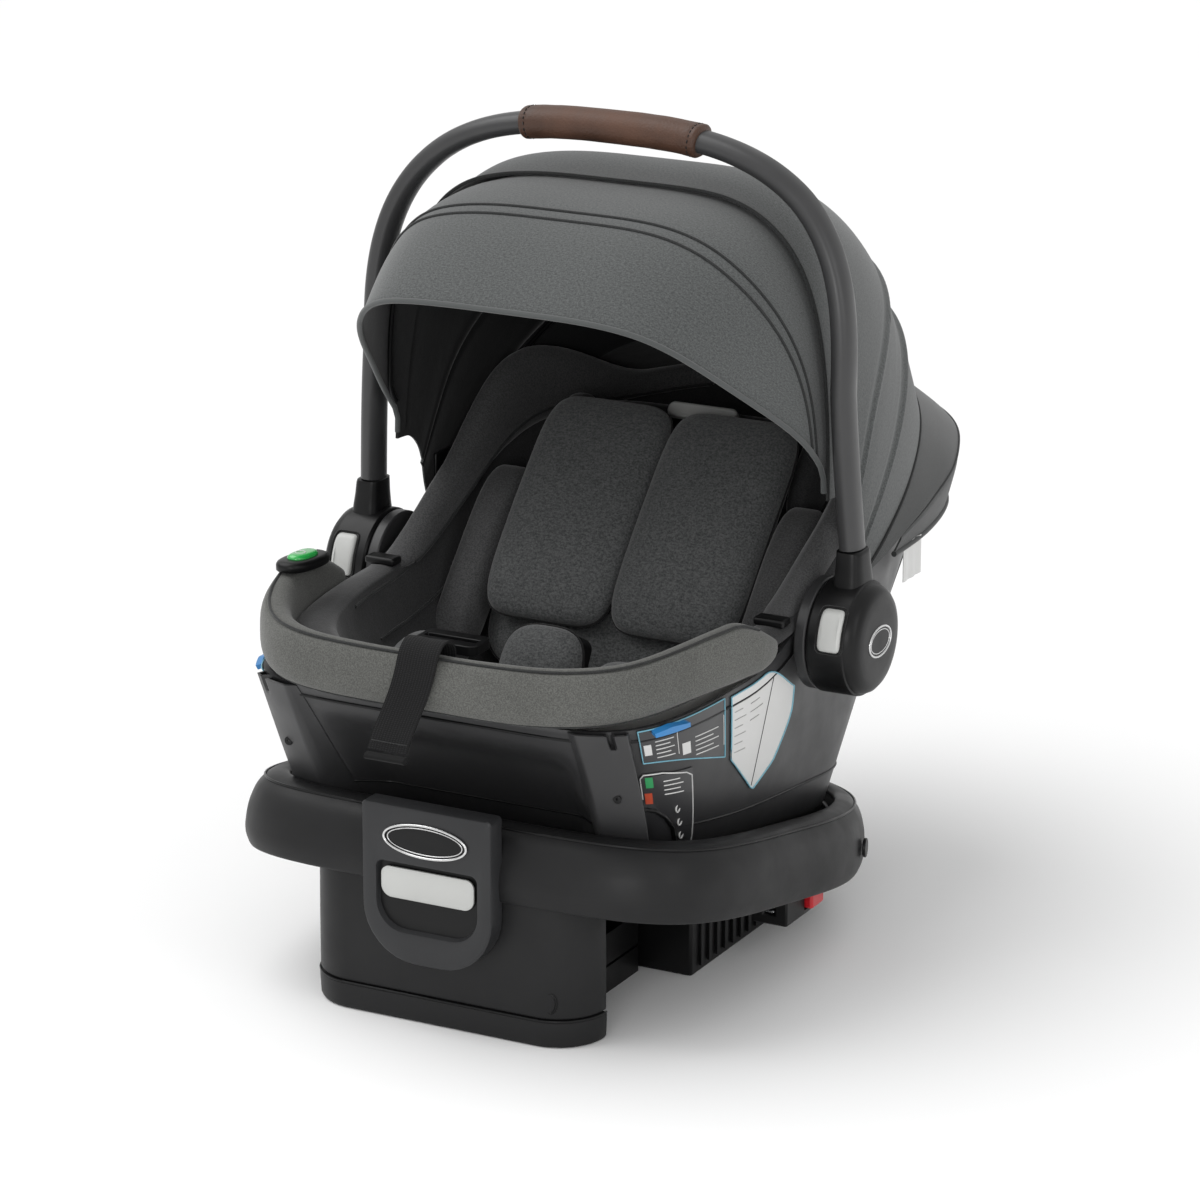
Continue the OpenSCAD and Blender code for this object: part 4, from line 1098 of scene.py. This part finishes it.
# ------------------------------------------------------------------ canopy
def dome_pt(q, a, big_r, half_w, e):
    r = big_r * abs(math.sin(q)) ** (2 / e)
    return (-half_w * power(math.cos(q), 2 / e), HUB[1] + r * math.sin(a), HUB[2] + r * math.cos(a))


def side_angle(low, big_r, e):
    return math.asin((low / big_r) ** (e / 2))


def ridge(a, at, width, height):
    return height * math.exp(-((a - at) / width) ** 2)


def sweep(rho):
    """Degrees that the visor's edge is swept back where the dome's radius is rho times that in its middle."""
    return 18 * (1 - rho) + 90 * (1 - rho) ** 3


def visor_front(q):
    return min(0.0, VISOR_EDGE + sweep(math.sin(q) ** 0.5))


def visor_pt(q, share, inset=0.0):
    """Point of the front panel: share 0 is the visor's edge, 1 its rear seam."""
    a = mix(visor_front(q), VISOR_SEAM, share)
    curl = 1 - 0.035 * min(1.0, max(0.0, (-14 - a) / 20)) ** 1.5
    narrow = 1 - 0.11 * smooth((-6 - a) / 28)
    low = 1 - 0.004 * smooth((a + 1) / 4)
    soft = 1.4 * noise.noise(Vector((math.cos(q) * 2.6, a * 0.05, 4.0)))
    big_r = CANOPY_R * curl * low + soft - inset
    return dome_pt(q, math.radians(a), big_r, VISOR_HALF_W * narrow - inset, 4)


def seam_angle(q):
    """The double piping of the visor, from its middle to its sides."""
    rho = math.sin(q) ** 0.5
    return mix(-7.0, -14.5, smooth((rho - 0.5) / 0.5))


def share_of(q, angle):
    """Share of the way across the front panel at which it reaches an angle."""
    front = visor_front(q)
    return (angle - front) / (VISOR_SEAM - front)


def apron_cut(edges):
    """Cut of the rear apron: edges(share) gives its top, crease and hem points at a share of the way round.

    The modelled cloth runs between the same crease and hem, so a difference from it would be stretch and not
    a wrong size."""
    cols = np.array([edges(i / 400) for i in range(401)])
    runs = np.linalg.norm(np.diff(cols, axis=1), axis=2)
    steps = np.linalg.norm(np.diff(cols, axis=0), axis=2)
    area = 0.0
    for k in range(2):
        a, b, c, d = cols[:-1, k], cols[:-1, k + 1], cols[1:, k], cols[1:, k + 1]
        for side_1, side_2 in ((b - a, c - a), (b - d, c - d)):
            area += np.linalg.norm(np.cross(side_1, side_2), axis=1).sum() / 2
    return steps[:, 1].sum() * MM, runs.sum(axis=1).max() * MM, area * MM * MM


def canopy():
    n = 120
    q0 = side_angle(100, CANOPY_R, 4)
    qs = [mix(q0, math.pi - q0, i / n) for i in range(n + 1)]
    rows = [[visor_pt(q, j / 36) for q in qs] for j in range(37)]
    visor = cloth("canopy_front_cloth", rows, CLOTH_T, M["canopy"], M["lining"])
    place(visor, "canopy_front", "canopy_fabric", "canopy_front")
    bow = [visor_pt(q, max(share_of(q, -8.0), 0.1), 4.0) for q in qs[3:-3]]
    bow = tube("canopy_bow_front", bow, 1.8, M["black"], False, 8)
    place(bow, "canopy_front", "steel", "canopy_bows_front")
    pipe("canopy_visor_hem", rows[0], 2.0, M["canopy"], False, 10, "canopy_front", "canopy_fabric")
    for k, off in enumerate((0.0, 2.6)):
        shares = [(q, share_of(q, seam_angle(q) + off)) for q in qs]
        line = [visor_pt(q, share, -0.2) for q, share in shares if 0 < share < 1]
        seam = tube("canopy_visor_piping_%d" % k, line, 1.25, M["piping"], False, 8)
        place(seam, "canopy_front", "canopy_fabric")

    def panel_pt(q, a):
        """Cloth behind the visor: sits a little higher towards the rear, with raised folds."""
        e = mix(4.3, 3.2, smooth((a - 8) / 40))
        rho = math.sin(q) ** (2 / e)
        crown = smooth((rho - 0.55) / 0.4)
        big_r = 301.8 + 4 * smooth((a - 1) / 14) + 11 * crown * smooth((a - 2) / 12)
        big_r -= 9 * smooth((a - 36) / 26)
        half_w = mix(CANOPY_HALF_W - 2.2, CANOPY_HALF_W, smooth((a - 20) / 20))
        fold_1, fold_2 = mix(31, 43, smooth((rho - 0.45) / 0.55)), mix(50, 52.5, rho)
        up = ridge(a, fold_1, 0.75, 3.2) + ridge(a, fold_2, 0.75, 3.2) - ridge(a, fold_1 - 2.1, 1.1, 1.4)
        up -= ridge(a, fold_2 - 2.1, 1.1, 1.4)
        soft = 1.8 * noise.noise(Vector((math.cos(q) * 2.2, a * 0.045, 9.0)))
        sag = -3.2 * math.sin(math.pi * min(1.0, max(0.0, (a - 3) / 36)))
        sag -= 2.2 * math.sin(math.pi * min(1.0, max(0.0, (a - 44) / 8)))
        return dome_pt(q, math.radians(a), big_r + up + soft + sag, half_w + 0.45 * up, e)

    q0 = side_angle(96, CANOPY_R + 7, 4.3)
    qs = [mix(q0, math.pi - q0, i / n) for i in range(n + 1)]
    rows = [[panel_pt(q, a) for q in qs] for a in np.linspace(1.6, 38.4, 90)]
    top = cloth("canopy_top_cloth", rows, CLOTH_T, M["canopy"], M["lining"])
    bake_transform(top)
    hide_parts("canopy_top")
    line = [panel_pt(q, 1.7) for q in qs]
    pipe("canopy_top_piping", line, 1.4, M["piping"], False, 8, "canopy_front", "canopy_fabric")
    rows = [[panel_pt(q, a) for q in qs] for a in np.linspace(38.2, APRON_TOP, 96)]
    bow = [panel_pt(q, 52.0) * np.array((0.975, 1, 1)) + np.array((0, -2.6, -2.4)) for q in qs[4:-4]]
    pipe("canopy_bow_rear", bow, 1.8, M["black"], False, 8, "carrier", "steel", "canopy_bows_rear")
    rear = cloth("canopy_rear_cloth", rows, CLOTH_T, M["canopy"], M["lining"])
    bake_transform(rear)
    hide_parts("canopy_rear")

    def apron_lines(rho, side):
        """Points of the apron's crease and hem."""
        back = rho ** APRON_SHARPNESS
        crease = (174 * side, mix(44, 345, back), 268 + 42 * math.sqrt(rho))
        return crease, (170 * side, mix(40, 318, back), 266)

    def drop_pt(q, v):
        rho = math.sin(q)
        top_p = np.array(panel_pt(q, APRON_TOP))
        side = -power(math.cos(q), APRON_SHARPNESS)
        crease, hem = (np.array(edge) for edge in apron_lines(rho, side))
        p = mix(top_p, crease, v * 2) if v < 0.5 else mix(crease, hem, v * 2 - 1)
        bend = 3.0 * math.exp(-((v - 0.5) / 0.06) ** 2)
        soft = 1.6 * noise.noise(Vector((p[0] * 0.016, p[1] * 0.016, p[2] * 0.02)))
        out = np.array([p[0], p[1] + 20, 0.0])
        return p + out / max(1.0, np.linalg.norm(out)) * (soft - bend * 0.5)
    qd = [math.radians(d) for d in np.linspace(4, 176, 121)]
    rows = [[drop_pt(q, v) for q in qd] for v in np.linspace(0, 1, 44)]
    # The drop cloth uses the darker copy of the canopy fabric, painted shade.
    drop = cloth("canopy_drop_cloth", rows, CLOTH_T, M["drop"], M["lining"])
    place(drop, "carrier", "canopy_fabric", "canopy_drop")

    def apron_edges(share):
        q = math.radians(mix(4, 176, share))
        top_edge = dome_pt(q, math.radians(APRON_TOP), CANOPY_R + 18, CANOPY_HALF_W, 4.5)
        return (top_edge, *apron_lines(math.sin(q), -power(math.cos(q), APRON_SHARPNESS)))
    apron_cut(apron_edges)
    pipe("canopy_drop_seam", rows[0], 1.3, M["piping"], False, 8, "carrier", "canopy_fabric")
    # The drop's hem also uses the darker copy of the canopy fabric, painted shade.
    pipe("canopy_drop_hem", rows[-1], 2.2, M["drop"], False, 8, "carrier", "canopy_fabric")
    pipe("canopy_drop_crease", rows[21], 1.0, M["piping"], False, 8, "carrier", "canopy_fabric")
    rows = [[(168.6 + 0.4 * math.sin(i), 92 + 2.0 * i, 268 - 2.6 * j) for i in range(16)] for j in range(12)]
    tag = cloth("care_label", rows, 0.5, M["label"], M["label"])
    place(tag, "carrier", "label_film")


# ------------------------------------------------------------------ stage, light and camera
def stage():
    data = bpy.data.meshes.new("floor")
    s = 14.0
    data.from_pydata([(-s, -s, 0), (s, -s, 0), (s, s, 0), (-s, s, 0)], [], [(0, 1, 2, 3)])
    floor = bpy.data.objects.new("floor", data)
    SCENE.collection.objects.link(floor)
    n = Nodes("floor_m", 0.9, spec=0.1)
    n.colour(n.ramp(n.noise(0.8, 2), [(0.3, 0.925), (0.7, 0.93)]))
    data.materials.append(n.mat)
    world = bpy.data.worlds.new("studio")
    world.use_nodes = True
    back = world.node_tree.nodes["Background"]
    back.inputs["Color"].default_value = (1.0, 1.0, 1.0, 1)
    back.inputs["Strength"].default_value = 0.71
    SCENE.world = world

    def lamp(name, at, aim, size, power_w):
        light = bpy.data.lights.new(name, "AREA")
        light.shape = "RECTANGLE"
        light.size, light.size_y = size
        light.energy = power_w
        obj = bpy.data.objects.new(name, light)
        SCENE.collection.objects.link(obj)
        obj.location = at
        obj.rotation_euler = (Vector(aim) - Vector(at)).to_track_quat("-Z", "Y").to_euler()
    lamp("key", (-1.3, -1.5, 2.2), (0, 0, 0.3), (1.3, 1.3), 9)
    lamp("front", (0.9, -2.6, 0.95), (0, 0, 0.36), (0.9, 0.7), 12)
    lamp("side", (2.4, -0.9, 1.3), (0, 0, 0.25), (0.8, 1.6), 7)
    sun = bpy.data.lights.new("sun", "SUN")
    sun.energy = 1.3
    sun.angle = math.radians(50)
    obj = bpy.data.objects.new("sun", sun)
    SCENE.collection.objects.link(obj)
    obj.rotation_euler = Vector((1.05, 0.02, -1.9)).to_track_quat("-Z", "Y").to_euler()


def camera():
    data = bpy.data.cameras.new("camera")
    data.lens = 152.64
    data.sensor_width = 36
    cam = bpy.data.objects.new("camera", data)
    SCENE.collection.objects.link(cam)
    cam.location = (1.61372, -3.103, 1.327)
    cam.rotation_euler = (math.radians(72.54), 0, math.radians(27.9))
    SCENE.camera = cam


base()
foot()
front_panel()
shell()
labels()
rim()
level()
seat()
contents()
straps()
handle()
canopy()
stage()
camera()
SCENE.view_settings.view_transform = "Standard"
